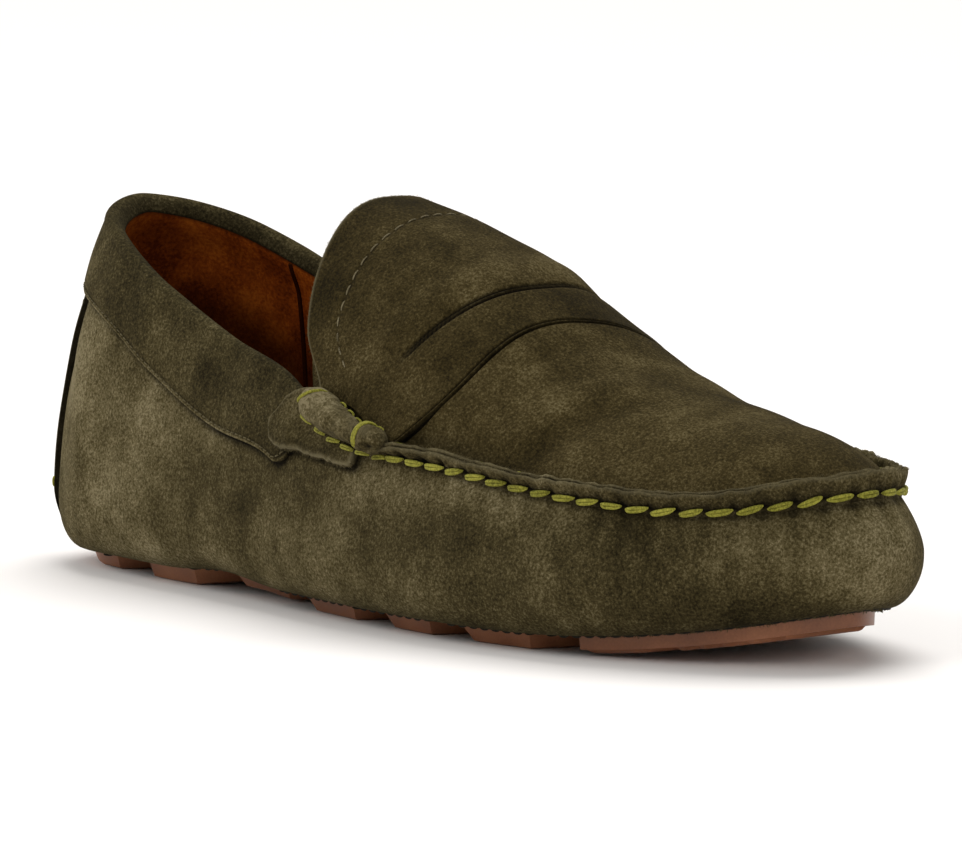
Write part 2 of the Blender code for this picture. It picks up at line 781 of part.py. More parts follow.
def collar_section(t):
    x = outline(t)[0][0]
    rise = rim_height(x) - widest(x)
    low = 1 - COLLAR_BAND["drop"] / rise
    lining = 1 - COLLAR_BAND["lining_drop"] / rise
    shares = np.linspace(low, 1, COLLAR_BAND["rows"])
    thick = smooth(shares, np.array([low, 0.5 * (low + 1), 1.0]), collar_thickness())
    section = [wall_point(t, s, GAP + h) for s, h in zip(shares, thick)]
    outside = wall_point(t, 1.0, GAP + COLLAR_BAND["top"])
    inside = wall_point(t, 1.0, -SUEDE - GAP - COLLAR_BAND["top"])
    middle = 0.5 * (outside + inside)
    for angle in np.radians(BEAD_ANGLES):
        bead = np.array([0, 0, COLLAR_BAND["bead"] * np.sin(angle)])
        section.append(middle + 0.5 * (outside - inside) * np.cos(angle) + bead)
    section += [inside, wall_point(t, lining, -SUEDE - GAP - COLLAR_BAND["edge"])]
    edge = np.array([0, 0, COLLAR_BAND["bead_gap"]])
    section += [wall_point(t, lining, -SUEDE - GAP), wall_point(t, 1.0, -SUEDE - GAP) + edge]
    section.append(wall_point(t, 1.0, GAP) + edge)
    section += [wall_point(t, s, GAP) for s in shares[-2::-1]]
    return section


def collar_thickness():
    return np.array([COLLAR_BAND["edge"], COLLAR_BAND["middle"], COLLAR_BAND["top"]])


def make_ridge(parent, finish):
    # Raised hand-sewn seam that stands along the rim from throat to throat
    rows = wall_rows()
    start = int(np.ceil(step_at(RIDGE["from"])))
    span = slice(HEEL_STEPS + start, HEEL_STEPS + 2 * FOREPART_STEPS - start + 1)
    rim = np.array(rows[-1])[span]
    below = np.array(rows[-2])[span]
    grid = plug_grid(range(start, FOREPART_STEPS))
    first = [section[1] for section in grid]
    last = [section[-2] for section in grid][::-1]
    beyond = np.array(first + [grid[-1][PLUG_STEPS // 2]] + last)
    along = unit(np.gradient(rim, axis=0))
    wall = unit(square_to(rim - below, along))
    plug = unit(square_to(beyond - rim, along))
    wall_out = np.cross(along, wall)
    plug_out = np.cross(along, plug)
    half = 0.5 * RIDGE["width"]
    upright = np.interp(rim[:, 0] - RIDGE["from"], (0, RIDGE["upright_over"]), RIDGE["upright"])
    up = unit(wall_out + plug_out + upright[:, None] * np.array([0, 0, 1]))
    corner = unit(wall_out + plug_out)
    lift = GAP / np.sum(corner * wall_out, axis=1, keepdims=True)
    foot_wall = rim - wall * half + wall_out * GAP
    foot_plug = rim + plug * half + plug_out * GAP
    side = unit(square_to(foot_plug - foot_wall, up))
    top = rim + up * RIDGE["height"]
    shoulder = top - up * RIDGE["rounding"]
    tip = side * 0.5 * RIDGE["tip"]
    ring_points = [foot_wall, shoulder - tip, top, shoulder + tip, foot_plug, rim + corner * lift]
    sections = np.stack(ring_points, axis=1)
    points, faces = loft(sections)
    return new_object("moc_seam", points, faces, finish, parent)


def unit(vectors):
    return vectors / np.linalg.norm(vectors, axis=-1, keepdims=True)


def square_to(vectors, along):
    return vectors - along * np.sum(vectors * along, axis=-1, keepdims=True)


def make_roll(name, side, parent, finish):
    # Sewn roll at the end of the ridge, with the knob of its front wrap
    turn = 2 * np.pi * np.arange(ROLL_SIDES) / ROLL_SIDES
    sections = []
    for x, radius in zip(column(ROLL, ROLL_COLUMNS, "x"), column(ROLL, ROLL_COLUMNS, "radius")):
        t = np.array(outline_t(x, side))
        centre = roll_centre(t)
        along = unit(roll_centre(np.array(outline_t(x + 1, side))) - centre)
        out = unit(square_to(np.append(outline(t)[1], 0), along))
        up = np.cross(along, out)
        sections.append([centre + radius * (np.cos(a) * out + np.sin(a) * up) for a in turn])
    points, faces = loft(sections)
    return new_object(name, points, faces, finish, parent)


def roll_centre(t):
    # The roll lies on the rim, clear of the wall below and of the plug beside it
    rim = wall_point(t, 1.0)
    return rim + np.append(ROLL_OUT * outline(t)[1], ROLL_UP)


def make_flap(name, side, parent, finish):
    # Raw-edged tab on the wall below the roll, over the end of the collar band
    low = []
    high = []
    for row in FLAP:
        x, drop, out = (row[FLAP_COLUMNS.index(name)] for name in ("x", "drop", "out"))
        t = np.array(outline_t(x, side))
        rise = rim_height(x) - widest(x)
        shares = 1 - np.linspace(drop, FLAP_TOP, FLAP_ROWS) / rise
        low.append([wall_point(t, share, out) for share in shares])
        high.append([wall_point(t, share, out + FLAP_THICK) for share in shares])
    points, faces = patch(high, low)
    return new_object(name, points, faces, finish, parent)


def make_back_strip(parent, finish):
    # Wide strip round the heel back, over its closing seam, from under the collar band down to the tuck
    low = []
    high = []
    for offset in np.linspace(-STRIP["half_width"], STRIP["half_width"], STRIP["columns"]):
        t = strip_t(offset)
        x = outline(t)[0][0]
        rise = rim_height(x) - widest(x)
        top = 1 - (COLLAR_BAND["drop"] + 2 * GAP) / rise
        bottom = (STRIP["bottom"] - widest(x)) / rise
        shares = np.linspace(bottom, top, STRIP["rows"])
        low.append([wall_point(t, s, GAP) for s in shares])
        high.append([wall_point(t, s, GAP + STRIP["thick"]) for s in shares])
    points, faces = patch(high, low)
    return new_object("back_strip", points, faces, finish, parent)


def strip_t(offset):
    # Outline parameter at a distance along the outline from the middle of the heel
    if offset < 0:
        return np.array(-np.interp(-offset, *heel_arc(-1)))
    return np.array(np.interp(offset, *heel_arc(1)))


def heel_arc(sign):
    t = np.linspace(0, sign * STRIP["reach"] * TOE_KNOT, HEEL_ARC_SAMPLES)
    points = outline(t)[0]
    length = np.concatenate([[0], np.cumsum(np.linalg.norm(np.diff(points, axis=0), axis=1))])
    return length, np.abs(t)


def make_finish(name):
    colour, roughness = FINISHES[name]
    finish = bpy.data.materials.new(name)
    finish.use_nodes = True
    shader = finish.node_tree.nodes["Principled BSDF"]
    shader.inputs["Base Color"].default_value = colour
    shader.inputs["Roughness"].default_value = roughness
    shader.inputs["Metallic"].default_value = 0.0
    finish.diffuse_color = colour
    return finish


def centre_on_origin(items, parent):
    # Put the origin at the middle of the bottom of the shoe's box
    bpy.context.view_layer.update()
    corners = np.array([v.co for item in items for v in item.data.vertices])
    low, high = corners.min(axis=0), corners.max(axis=0)
    parent.location = (-0.5 * (low[0] + high[0]), -0.5 * (low[1] + high[1]), -low[2])


def main():
    for item in list(bpy.data.objects):
        bpy.data.objects.remove(item)
    finishes = {name: make_finish(name) for name in FINISHES}
    shoe = bpy.data.objects.new("shoe", None)
    bpy.context.scene.collection.objects.link(shoe)
    items = [
        make_upper(shoe, finishes["suede"]),
        make_outsole(shoe, finishes["rubber"]),
        make_insole(shoe, finishes["lining"]),
        make_tongue(shoe, finishes["suede_plug"]),
        make_collar(shoe, finishes["suede"]),
        make_ridge(shoe, finishes["suede"]),
        make_back_strip(shoe, finishes["suede"]),
    ]
    for side, name in ((-1, "lateral"), (1, "medial")):
        items.append(make_roll("roll_" + name, side, shoe, finishes["suede"]))
        items.append(make_flap("flap_" + name, side, shoe, finishes["suede"]))
    centre_on_origin(items, shoe)


main()
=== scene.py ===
import bpy
import numpy as np
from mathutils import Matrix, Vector
from mathutils.geometry import delaunay_2d_cdt


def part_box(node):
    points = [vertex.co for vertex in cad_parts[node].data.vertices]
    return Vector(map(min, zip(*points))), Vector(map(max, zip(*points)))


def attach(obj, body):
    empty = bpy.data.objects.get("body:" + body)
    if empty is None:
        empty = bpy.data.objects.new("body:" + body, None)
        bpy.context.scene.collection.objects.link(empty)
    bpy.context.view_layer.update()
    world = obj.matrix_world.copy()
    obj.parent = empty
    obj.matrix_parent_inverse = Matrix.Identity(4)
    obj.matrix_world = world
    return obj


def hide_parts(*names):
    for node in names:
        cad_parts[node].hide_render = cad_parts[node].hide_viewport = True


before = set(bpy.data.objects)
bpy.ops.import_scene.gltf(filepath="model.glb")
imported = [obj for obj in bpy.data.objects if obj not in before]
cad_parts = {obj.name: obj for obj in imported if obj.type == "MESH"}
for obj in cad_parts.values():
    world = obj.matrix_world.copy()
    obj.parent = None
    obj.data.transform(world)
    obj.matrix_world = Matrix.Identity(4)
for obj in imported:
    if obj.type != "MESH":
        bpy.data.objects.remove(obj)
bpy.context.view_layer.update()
print("frame:", len(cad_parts), "solids")

# sizes are millimetres in the shoe's own frame: x from heel back to toe, y to the inner side, z up
mm = 0.001

# last
last = {"length": 290.0, "ballWidth": 97.5, "heelHeight": 92.0, "instepHeight": 97.0, "toeOffset": 0.020}
planTable = (  # share of the length, outer and inner half width as shares of the ball width
    (0.040, 0.241, 0.246),
    (0.131, 0.354, 0.359),
    (0.274, 0.400, 0.379),
    (0.445, 0.482, 0.415),
    (0.618, 0.533, 0.467),
    (0.766, 0.487, 0.451),
    (0.885, 0.374, 0.369),
    (0.967, 0.202, 0.216),
)
rimTable = (  # share of the length, share of the heel height, lean of the wall to the inside
    (0.000, 1.000, 15.5),
    (0.103, 0.929, 11.9),
    (0.207, 0.811, 8.5),
    (0.310, 0.700, 7.8),
    (0.407, 0.622, 8.0),
    (0.455, 0.543, 7.2),
    (0.517, 0.486, 6.5),
    (0.655, 0.442, 7.5),
    (0.793, 0.404, 6.3),
    (0.903, 0.397, 5.0),
    (1.000, 0.450, 7.2),
)
crownTable = (  # share of the length, share of the instep height
    (0.400, 1.000),
    (0.450, 0.972),
    (0.552, 0.885),
    (0.690, 0.681),
    (0.828, 0.575),
    (0.931, 0.525),
    (1.000, 0.419),
)
sole = {"lugHeight": 4.5, "toeSpring": 11.3, "toeSpringStart": 203.0, "heelCurl": 8.0, "heelCurlStart": 24.0,
        "archRise": 1.6, "archStart": 62.0, "archEnd": 118.0, "rubberEdge": 10.3, "rubberEdgeHeel": 4.8,
        "plate": 2.0, "plateEdge": 0.85, "footbed": 3.6, "footbedEdge": 5.0, "lugBevel": 1.9,
        "bevelShare": 0.3, "groove": 0.5, "shoulder": 0.6, "shoulderSlope": 0.25, "heelBlend": 40.0}
wall = {"suede": 1.8, "gap": 0.35, "tuck": 8.5, "tuckHeel": 3.5, "widest": 16.7, "widestCurl": 0.5,
        "leanPower": 1.7, "throat": 131.0, "throatBack": 14.0, "throatPower": 4.3, "bead": 3.4,
        "beadFade": 10.0, "plugPowerThroat": 2.6, "plugPowerToe": 2.0, "foreSteps": 22.0,
        "innerRise": 3.2, "innerRiseStart": 196.0}


def curveThrough(x, xs, ys):
    slopes = np.gradient(ys, xs)
    x = np.clip(np.asarray(x, dtype=float), xs[0], xs[-1])
    k = np.clip(np.searchsorted(xs, x) - 1, 0, len(xs) - 2)
    span = xs[k + 1] - xs[k]
    t = (x - xs[k]) / span
    level = ys[k] * (1 + 2 * t) * (1 - t) ** 2 + ys[k + 1] * t * t * (3 - 2 * t)
    return level + span * (slopes[k] * t * (1 - t) ** 2 - slopes[k + 1] * t * t * (1 - t))


def readTable(x, rows, column=1):
    # smooth curve through one column of a table
    table = np.array(rows)
    return curveThrough(x, table[:, 0], table[:, column])


def readStraight(x, rows, column=1):
    table = np.array(rows)
    return np.interp(x, table[:, 0], table[:, column])


def planSpline():
    table = np.array(planTable)
    along = table[:, 0] * last["length"]
    outer = np.column_stack([along, -table[:, 1] * last["ballWidth"]])
    inner = np.column_stack([along, table[:, 2] * last["ballWidth"]])
    toe = [(last["length"], last["toeOffset"] * last["ballWidth"])]
    points = np.vstack([[(0.0, 0.0)], outer, toe, inner[::-1]])
    span = np.sqrt(np.linalg.norm(np.roll(points, -1, axis=0) - points, axis=1))
    count = len(points)
    matrix = np.zeros((count, count))
    right = np.zeros((count, 2))
    for i in range(count):
        before = span[i - 1]
        after = span[i]
        matrix[i, i - 1] += before
        matrix[i, i] += 2 * (before + after)
        matrix[i, (i + 1) % count] += after
        rise = (points[(i + 1) % count] - points[i]) / after
        fall = (points[i] - points[i - 1]) / before
        right[i] = 6 * (rise - fall)
    return points, np.concatenate([[0.0], np.cumsum(span)]), np.linalg.solve(matrix, right)


planPoints, planKnots, planBend = planSpline()
lapKnot = planKnots[-1]
toeKnot = planKnots[len(planTable) + 1]


def outline(t):
    # point and outward normal of the plan at a knot value
    t = np.asarray(t, dtype=float) % lapKnot
    k = np.clip(np.searchsorted(planKnots, t, side="right") - 1, 0, len(planPoints) - 1)
    after = (k + 1) % len(planPoints)
    h = (planKnots[k + 1] - planKnots[k])[..., None]
    a = (planKnots[k + 1] - t)[..., None] / h
    b = 1 - a
    point = a * planPoints[k] + b * planPoints[after]
    point = point + ((a ** 3 - a) * planBend[k] + (b ** 3 - b) * planBend[after]) * h * h / 6
    run = (planPoints[after] - planPoints[k]) / h
    run = run + ((1 - 3 * a * a) * planBend[k] + (3 * b * b - 1) * planBend[after]) * h / 6
    normal = np.stack([run[..., 1], -run[..., 0]], axis=-1)
    return point, normal / np.linalg.norm(normal, axis=-1, keepdims=True)


outerT = np.linspace(0, toeKnot, 400)
innerT = np.linspace(lapKnot, toeKnot, 400)
outerLine = outline(outerT)[0]
innerLine = outline(innerT)[0]
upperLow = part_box("upper")[0]
shift = np.array([upperLow.x / mm, upperLow.y / mm - outerLine[:, 1].min(), 0.0])


def knotAt(x, side):
    if side < 0:
        return np.interp(x, outerLine[:, 0], outerT)
    return np.interp(x, innerLine[:, 0], innerT)


def toeSpring(x):
    start = sole["toeSpringStart"]
    return sole["toeSpring"] * (np.clip(x - start, 0, None) / (last["length"] - start)) ** 2


def heelCurl(x):
    return sole["heelCurl"] * (np.clip(sole["heelCurlStart"] - x, 0, None) / sole["heelCurlStart"]) ** 2


def tread(x):
    arch = np.clip((x - sole["archStart"]) / (sole["archEnd"] - sole["archStart"]), 0, 1)
    return toeSpring(x) + heelCurl(x) + sole["archRise"] * np.sin(np.pi * arch) ** 2


def treadSlope(x):
    return tread(x + 0.5) - tread(x - 0.5)


def layer(x, depth):
    return tread(x) + sole["lugHeight"] + depth * np.sqrt(1 + treadSlope(x) ** 2)


def tuck(x):
    return np.interp(x, (0.0, sole["heelBlend"]), (wall["tuckHeel"], wall["tuck"]))


def rubberEdge(x):
    return np.interp(x, (0.0, sole["heelBlend"]), (sole["rubberEdgeHeel"], sole["rubberEdge"]))


def rimHeight(x):
    top = readTable(x / last["length"], rimTable) * last["heelHeight"]
    return top - wall["bead"] * np.clip((wall["throat"] - x) / wall["beadFade"], 0, 1)


def crownHeight(x):
    return readTable(x / last["length"], crownTable) * last["instepHeight"]


def widest(x):
    return wall["widest"] + toeSpring(x) + wall["widestCurl"] * heelCurl(x)


def innerRise(t, x):
    # the rim stands higher on the inner side of the toe
    start = wall["innerRiseStart"]
    ahead = np.clip((x - start) / (last["length"] - start), 0, 1)
    return np.where(t > toeKnot, wall["innerRise"] * np.sin(np.pi * ahead) ** 2, 0.0)


def wallPoint(t, share, out=0.0):
    # point on the outside of the wall, from its widest line (0) to the rim (1)
    point, normal = outline(t)
    x = point[..., 0]
    lean = readTable(x / last["length"], rimTable, 2)
    low = widest(x)
    rise = rimHeight(x) - low
    share = np.asarray(share, dtype=float)
    tilt = wall["leanPower"] * lean * share ** (wall["leanPower"] - 1)
    long = np.sqrt(rise ** 2 + tilt ** 2)
    offset = out * rise / long - lean * share ** wall["leanPower"]
    plan = point + normal * offset[..., None]
    height = low + rise * share + out * tilt / long + share * innerRise(t, x)
    return np.concatenate([plan, height[..., None]], axis=-1)


def shareBelowRim(x, drop):
    return 1 - drop / (rimHeight(x) - widest(x))


def rimPoint(step, side):
    start = knotAt(wall["throat"], side)
    return wallPoint(start + (toeKnot - start) * np.asarray(step) / wall["foreSteps"], 1.0)


def stepAt(x):
    start = knotAt(wall["throat"], -1)
    return wall["foreSteps"] * (knotAt(x, -1) - start) / (toeKnot - start)


def plugPower(step):
    change = wall["plugPowerToe"] - wall["plugPowerThroat"]
    return wall["plugPowerThroat"] + change * step / wall["foreSteps"]


def plugPoint(step, across):
    # point on the plug from throat (0) to toe, across from -1 on the outer rim to 1 on the inner rim
    step, across = np.broadcast_arrays(np.asarray(step, dtype=float), np.asarray(across, dtype=float))
    outer = rimPoint(step, -1)
    inner = rimPoint(step, 1)
    middle = 0.5 * (outer + inner)
    back = wall["throatBack"] * (1 - step / wall["foreSteps"]) ** 3
    rise = crownHeight(middle[..., 0] - back) - middle[..., 2]
    point = outer + (inner - outer) * (0.5 * (across + 1))[..., None]
    point[..., 0] -= back * (1 - np.abs(across) ** wall["throatPower"])
    point[..., 2] += rise * (1 - np.abs(across) ** plugPower(step))
    return point


# mesh helpers
def unit(v):
    return v / np.maximum(np.linalg.norm(v, axis=-1, keepdims=True), 1e-12)


def squareTo(v, along):
    return v - along * np.sum(v * along, axis=-1, keepdims=True)


def smoothStep(x, low, high):
    t = np.clip((x - low) / (high - low), 0, 1)
    return t * t * (3 - 2 * t)


def bell(distance, width):
    return np.exp(-(distance / width) ** 2)


def arcLength(line):
    return np.concatenate([[0.0], np.cumsum(np.linalg.norm(np.diff(line, axis=0), axis=1))])


def spread(at, knots, rows):
    # rows of numbers, read between their knots
    return np.column_stack([np.interp(at, knots, column) for column in rows.T])


def softNoise(points, size, seed, waves=12):
    # smooth noise of about unit strength, from waves in random directions
    dice = np.random.default_rng(seed)
    direction = unit(dice.normal(size=(waves, 3)))
    pitch = 2 * np.pi / (size * dice.uniform(0.7, 1.6, waves))
    phase = dice.uniform(0, 2 * np.pi, waves)
    return np.sin(points @ (direction * pitch[:, None]).T + phase).sum(axis=-1) * np.sqrt(2.0 / waves)


def gridNormals(grid, wrap=False):
    rows = np.gradient(grid, axis=0)
    if wrap:
        columns = np.roll(grid, -1, axis=1) - np.roll(grid, 1, axis=1)
    else:
        columns = np.gradient(grid, axis=1)
    return unit(np.cross(columns, rows))


def upNormals(grid):
    normal = gridNormals(grid)
    return normal * np.sign(normal[..., 2:].mean())


def gridFaces(rows, columns, wrap=False, start=0):
    i, j = np.meshgrid(np.arange(rows - 1), np.arange(columns if wrap else columns - 1), indexing="ij")
    k = (j + 1) % columns
    here = i * columns
    after = here + columns
    quads = np.stack([here + j, here + k, after + k, after + j], axis=-1)
    return (quads.reshape(-1, 4) + start).tolist()


def borderLoop(rows, columns):
    loop = list(range(columns))
    loop += [i * columns + columns - 1 for i in range(1, rows)]
    loop += [(rows - 1) * columns + j for j in range(columns - 2, -1, -1)]
    loop += [i * columns for i in range(rows - 2, 0, -1)]
    return loop


def shellFaces(rows, columns):
    # outside grid, inside grid and the edge between them; the second list marks the inside faces
    half = rows * columns
    faces = gridFaces(rows, columns)
    inside = [quad[::-1] for quad in gridFaces(rows, columns, start=half)]
    loop = borderLoop(rows, columns)
    edge = [[b, a, half + a, half + b] for a, b in zip(loop, loop[1:] + loop[:1])]
    kinds = [0] * len(faces) + [1] * len(inside) + [0] * len(edge)
    return faces + inside + edge, kinds


def bothSides(outside, inside):
    # points or values of the two grids of a shell, in one list
    return np.concatenate([grid.reshape((-1,) + grid.shape[2:]) for grid in (outside, inside)])


def addPiece(name, points, faces, materials, slot, kinds=None, marks=None, replaces=(), sharp=50):
    mesh = bpy.data.meshes.new(name)
    mesh.from_pydata(((np.asarray(points) + shift) * mm).tolist(), [], faces)
    for material in materials:
        mesh.materials.append(material)
    if kinds is not None:
        mesh.polygons.foreach_set("material_index", np.asarray(kinds, dtype=np.int32))
    for mark, values in (marks or {}).items():
        layerOut = mesh.attributes.new(mark, "FLOAT", "POINT")
        layerOut.data.foreach_set("value", np.asarray(values, dtype=np.float32).ravel())
    mesh.shade_smooth()
    mesh.set_sharp_from_angle(angle=np.radians(sharp))
    mesh.update()
    piece = bpy.data.objects.new(name, mesh)
    bpy.context.scene.collection.objects.link(piece)
    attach(piece, "root")
    if replaces:
        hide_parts(*replaces)
    print("  %s: %d faces" % (name, len(faces)))
    return piece


def tubes(paths, radii, aside, sides=8):
    # round tubes along many short paths; aside is any vector square to each path
    paths = np.asarray(paths, dtype=float)
    count, steps = paths.shape[:2]
    along = unit(np.gradient(paths, axis=1))
    first = unit(squareTo(np.broadcast_to(np.asarray(aside, dtype=float), paths.shape), along))
    second = np.cross(along, first)
    turn = 2 * np.pi * np.arange(sides) / sides
    radii = np.broadcast_to(np.asarray(radii, dtype=float), (count, steps))[..., None, None]
    ring = first[:, :, None] * np.cos(turn)[:, None] + second[:, :, None] * np.sin(turn)[:, None]
    points = (paths[:, :, None] + radii * ring).reshape(-1, 3)
    faces = []
    one = gridFaces(steps, sides, wrap=True)
    caps = [list(range(sides))[::-1], list(range((steps - 1) * sides, steps * sides))]
    for k in range(count):
        start = k * steps * sides
        faces += [[start + v for v in face] for face in one + caps]
    return points, faces


def fibres(roots, lean, long, radius, seed):
    # short hairs, each bent at random
    dice = np.random.default_rng(seed)
    heading = unit(lean + 0.45 * dice.normal(size=roots.shape))
    reach = long * dice.uniform(0.35, 1.0, len(roots))[:, None]
    bend = 0.3 * reach * dice.normal(size=roots.shape)
    paths = np.stack([roots + heading * reach * s + bend * s * s for s in (-0.4, 0.4, 1.0)], axis=1)
    aside = np.cross(heading, dice.normal(size=roots.shape))[:, None]
    return tubes(paths, radius * np.array([1.0, 0.8, 0.3]), aside, 4)


def merge(parts):
    points, faces, start = [], [], 0
    for some, more in parts:
        points.append(some)
        faces += [[start + v for v in face] for face in more]
        start += len(some)
    return np.vstack(points), faces


# materials
class Wire:
    # a socket of a material; sums and products of wires add Math nodes
    def __init__(self, tree, socket):
        self.tree = tree
        self.socket = socket

    def node(self, kind, settings, sockets, out=0):
        made = self.tree.nodes.new(kind)
        for key, value in settings.items():
            if key == "stops":
                ramp = made.color_ramp.elements
                while len(ramp) < len(value):
                    ramp.new(1.0)
                for element, (place, colour) in zip(ramp, value):
                    element.position = place
                    element.color = colour
            else:
                setattr(made, key, value)
        for key, value in sockets.items():
            if isinstance(value, Wire):
                self.tree.links.new(value.socket, made.inputs[key])
            else:
                made.inputs[key].default_value = value
        return Wire(self.tree, made.outputs[out])

    def maths(self, operation, first, second):
        return self.node("ShaderNodeMath", {"operation": operation}, {0: first, 1: second})

    def __add__(self, other):
        return self.maths("ADD", self, other)

    def __radd__(self, other):
        return self.maths("ADD", other, self)

    def __sub__(self, other):
        return self.maths("SUBTRACT", self, other)

    def __rsub__(self, other):
        return self.maths("SUBTRACT", other, self)

    def __mul__(self, other):
        return self.maths("MULTIPLY", self, other)

    def __rmul__(self, other):
        return self.maths("MULTIPLY", other, self)

    def sine(self):
        return self.maths("SINE", self, 0.0)

    def clip(self, low, high):
        settings = {"clamp": True}
        return self.node("ShaderNodeMapRange", settings, {0: self, 1: low, 2: high, 3: 0.0, 4: 1.0})

    def scaled(self, factors):
        return self.node("ShaderNodeVectorMath", {"operation": "MULTIPLY"}, {0: self, 1: factors})

    def noise(self, size, detail=2.0, rough=0.55, stretch=(1.0, 1.0, 1.0)):
        spread = self.scaled(tuple(s / size for s in stretch))
        sockets = {"Vector": spread, "Scale": 1.0, "Detail": detail, "Roughness": rough}
        return self.node("ShaderNodeTexNoise", {}, sockets, "Fac")

    def part(self, axis):
        return self.node("ShaderNodeSeparateXYZ", {}, {0: self}, axis)

    def ramp(self, stops):
        return self.node("ShaderNodeValToRGB", {"stops": stops}, {0: self}, "Color")

    def bump(self, strength, distance):
        sockets = {"Strength": strength, "Distance": distance * mm, "Height": self}
        return self.node("ShaderNodeBump", {}, sockets, "Normal")

    def mixed(self, first, second):
        # colour between two others, by this wire
        return self.node("ShaderNodeMix", {"data_type": "RGBA"}, {0: self, 6: first, 7: second}, 2)


def newMaterial(name, settings):
    # material, its coordinates in mm, and two functions: one feeds its shader, one reads a mark of the mesh
    material = bpy.data.materials.new(name)
    material.use_nodes = True
    tree = material.node_tree
    shader = tree.nodes["Principled BSDF"]
    for socket, value in settings.items():
        shader.inputs[socket].default_value = value
    place = tree.nodes.new("ShaderNodeTexCoord")
    where = Wire(tree, place.outputs["Object"]).scaled((1 / mm, 1 / mm, 1 / mm))

    def feed(socket, wire):
        tree.links.new(wire.socket, shader.inputs[socket])

    def mark(attribute):
        return where.node("ShaderNodeAttribute", {"attribute_name": attribute}, {}, "Fac")

    return material, where, feed, mark


def srgb(r, g, b):
    c = np.array([r, g, b]) / 255.0
    linear = np.where(c <= 0.04045, c / 12.92, ((c + 0.055) / 1.055) ** 2.4)
    return (*linear.tolist(), 1.0)


suedeLook = {"stops": ((0.0, srgb(29, 24, 11)), (0.25, srgb(46, 40, 22)), (0.5, srgb(66, 58, 35)),
                       (0.75, srgb(91, 82, 56)), (1.0, srgb(121, 111, 84))),
             # groove is the near-black that the dark mark mixes in: painted shade on most pieces, and the
             # black edge of the heel strip
             "groove": srgb(9, 7, 4), "brushed": srgb(106, 98, 74), "nap": 0.3,
             # size of each mottling in mm, and its strength
             "cloud": (24.0, 1.05), "patch": (8.0, 0.45), "streak": (2.4, 0.25), "grain": (0.7, 1.75)}
plugLook = {**suedeLook, "stops": ((0.0, srgb(26, 21, 8)), (0.25, srgb(41, 34, 15)), (0.5, srgb(57, 48, 25)),
                                   (0.75, srgb(77, 67, 41)), (1.0, srgb(102, 92, 64)))}


def suedeMaterial(name, look, seed):
    material, where, feed, mark = newMaterial(name, {
        "Roughness": 0.96, "Specular IOR Level": 0.04, "Sheen Weight": 0.06, "Sheen Roughness": 0.35,
        "Sheen Tint": srgb(150, 138, 104)})
    offset = (seed * 31.0, seed * 17.0, 0.0)
    moved = where.node("ShaderNodeVectorMath", {"operation": "ADD"}, {0: where, 1: offset})
    cloud = moved.noise(look["cloud"][0], 3.0, 0.6)
    patch = moved.noise(look["patch"][0], 3.0, 0.6)
    streak = moved.noise(look["streak"][0], 3.0, 0.65, (1.0, 1.0, 0.3))
    grain = moved.noise(look["grain"][0], 3.0, 0.75)
    tone = 0.5 + mark("tone")
    for kind, noise in (("cloud", cloud), ("patch", patch), ("streak", streak), ("grain", grain)):
        tone = tone + (noise - 0.5) * look[kind][1]
    # pale mixes in the brushed colour of raw edges; dark mixes in the groove colour, painted shade on most
    # pieces
    colour = mark("pale").mixed(tone.ramp(look["stops"]), look["brushed"])
    feed("Base Color", mark("dark").mixed(colour, look["groove"]))
    fine = moved.noise(look["grain"][0] * 0.5, 2.0, 0.6)
    height = grain * 0.9 + fine * 0.6 + streak * 0.5 + patch * 0.5
    feed("Normal", height.bump(0.75, look["nap"]))
    return material


liningLook = {"dark": srgb(94, 38, 8), "mid": srgb(145, 69, 17), "light": srgb(192, 104, 32),
              "shade": srgb(30, 9, 1)}


def liningMaterial(name):
    material, where, feed, mark = newMaterial(name, {"Roughness": 0.9, "Specular IOR Level": 0.02})
    cloud = where.noise(16.0, 3.0, 0.6)
    grain = where.noise(0.9, 3.0, 0.65)
    tone = 0.5 + (cloud - 0.5) * 2.0 + (grain - 0.5) * 1.3
    stops = [(0.1, liningLook["dark"]), (0.5, liningLook["mid"]), (0.95, liningLook["light"])]
    feed("Base Color", mark("dark").mixed(tone.ramp(stops), liningLook["shade"]))
    height = grain * 0.7 + cloud * 0.4
    feed("Normal", height.bump(0.45, 0.2))
    return material


rubberLook = {"dark": srgb(88, 50, 28), "mid": srgb(127, 78, 48), "light": srgb(161, 107, 72),
              "dotPitch": 1.25, "dotTurn": 0.72}


def rubberMaterial(name, dotted):
    material, where, feed, _ = newMaterial(name, {"Roughness": 0.5, "Specular IOR Level": 0.35})
    cloud = where.noise(18.0, 3.0, 0.55)
    grain = where.noise(0.6, 3.0, 0.6)
    tone = 0.5 + (cloud - 0.5) * 0.9 + (grain - 0.5) * 0.35
    height = grain * 0.12 + cloud * 0.2
    if dotted:
        turned = where.node("ShaderNodeVectorRotate", {"rotation_type": "Z_AXIS"},
                            {"Vector": where, "Angle": rubberLook["dotTurn"]})
        wave = np.pi / rubberLook["dotPitch"]
        dots = (turned.part(0) * wave).sine() * (turned.part(1) * wave).sine()
        dots = (dots * dots).clip(0.12, 0.7)
        height = height + dots
        tone = tone + (dots - 0.5) * 0.3
    stops = [(0.1, rubberLook["dark"]), (0.5, rubberLook["mid"]), (0.95, rubberLook["light"])]
    feed("Base Color", tone.ramp(stops))
    feed("Roughness", 0.42 + (grain - 0.5) * 0.25 + (cloud - 0.5) * 0.2)
    feed("Normal", height.bump(0.5, 0.35))
    return material


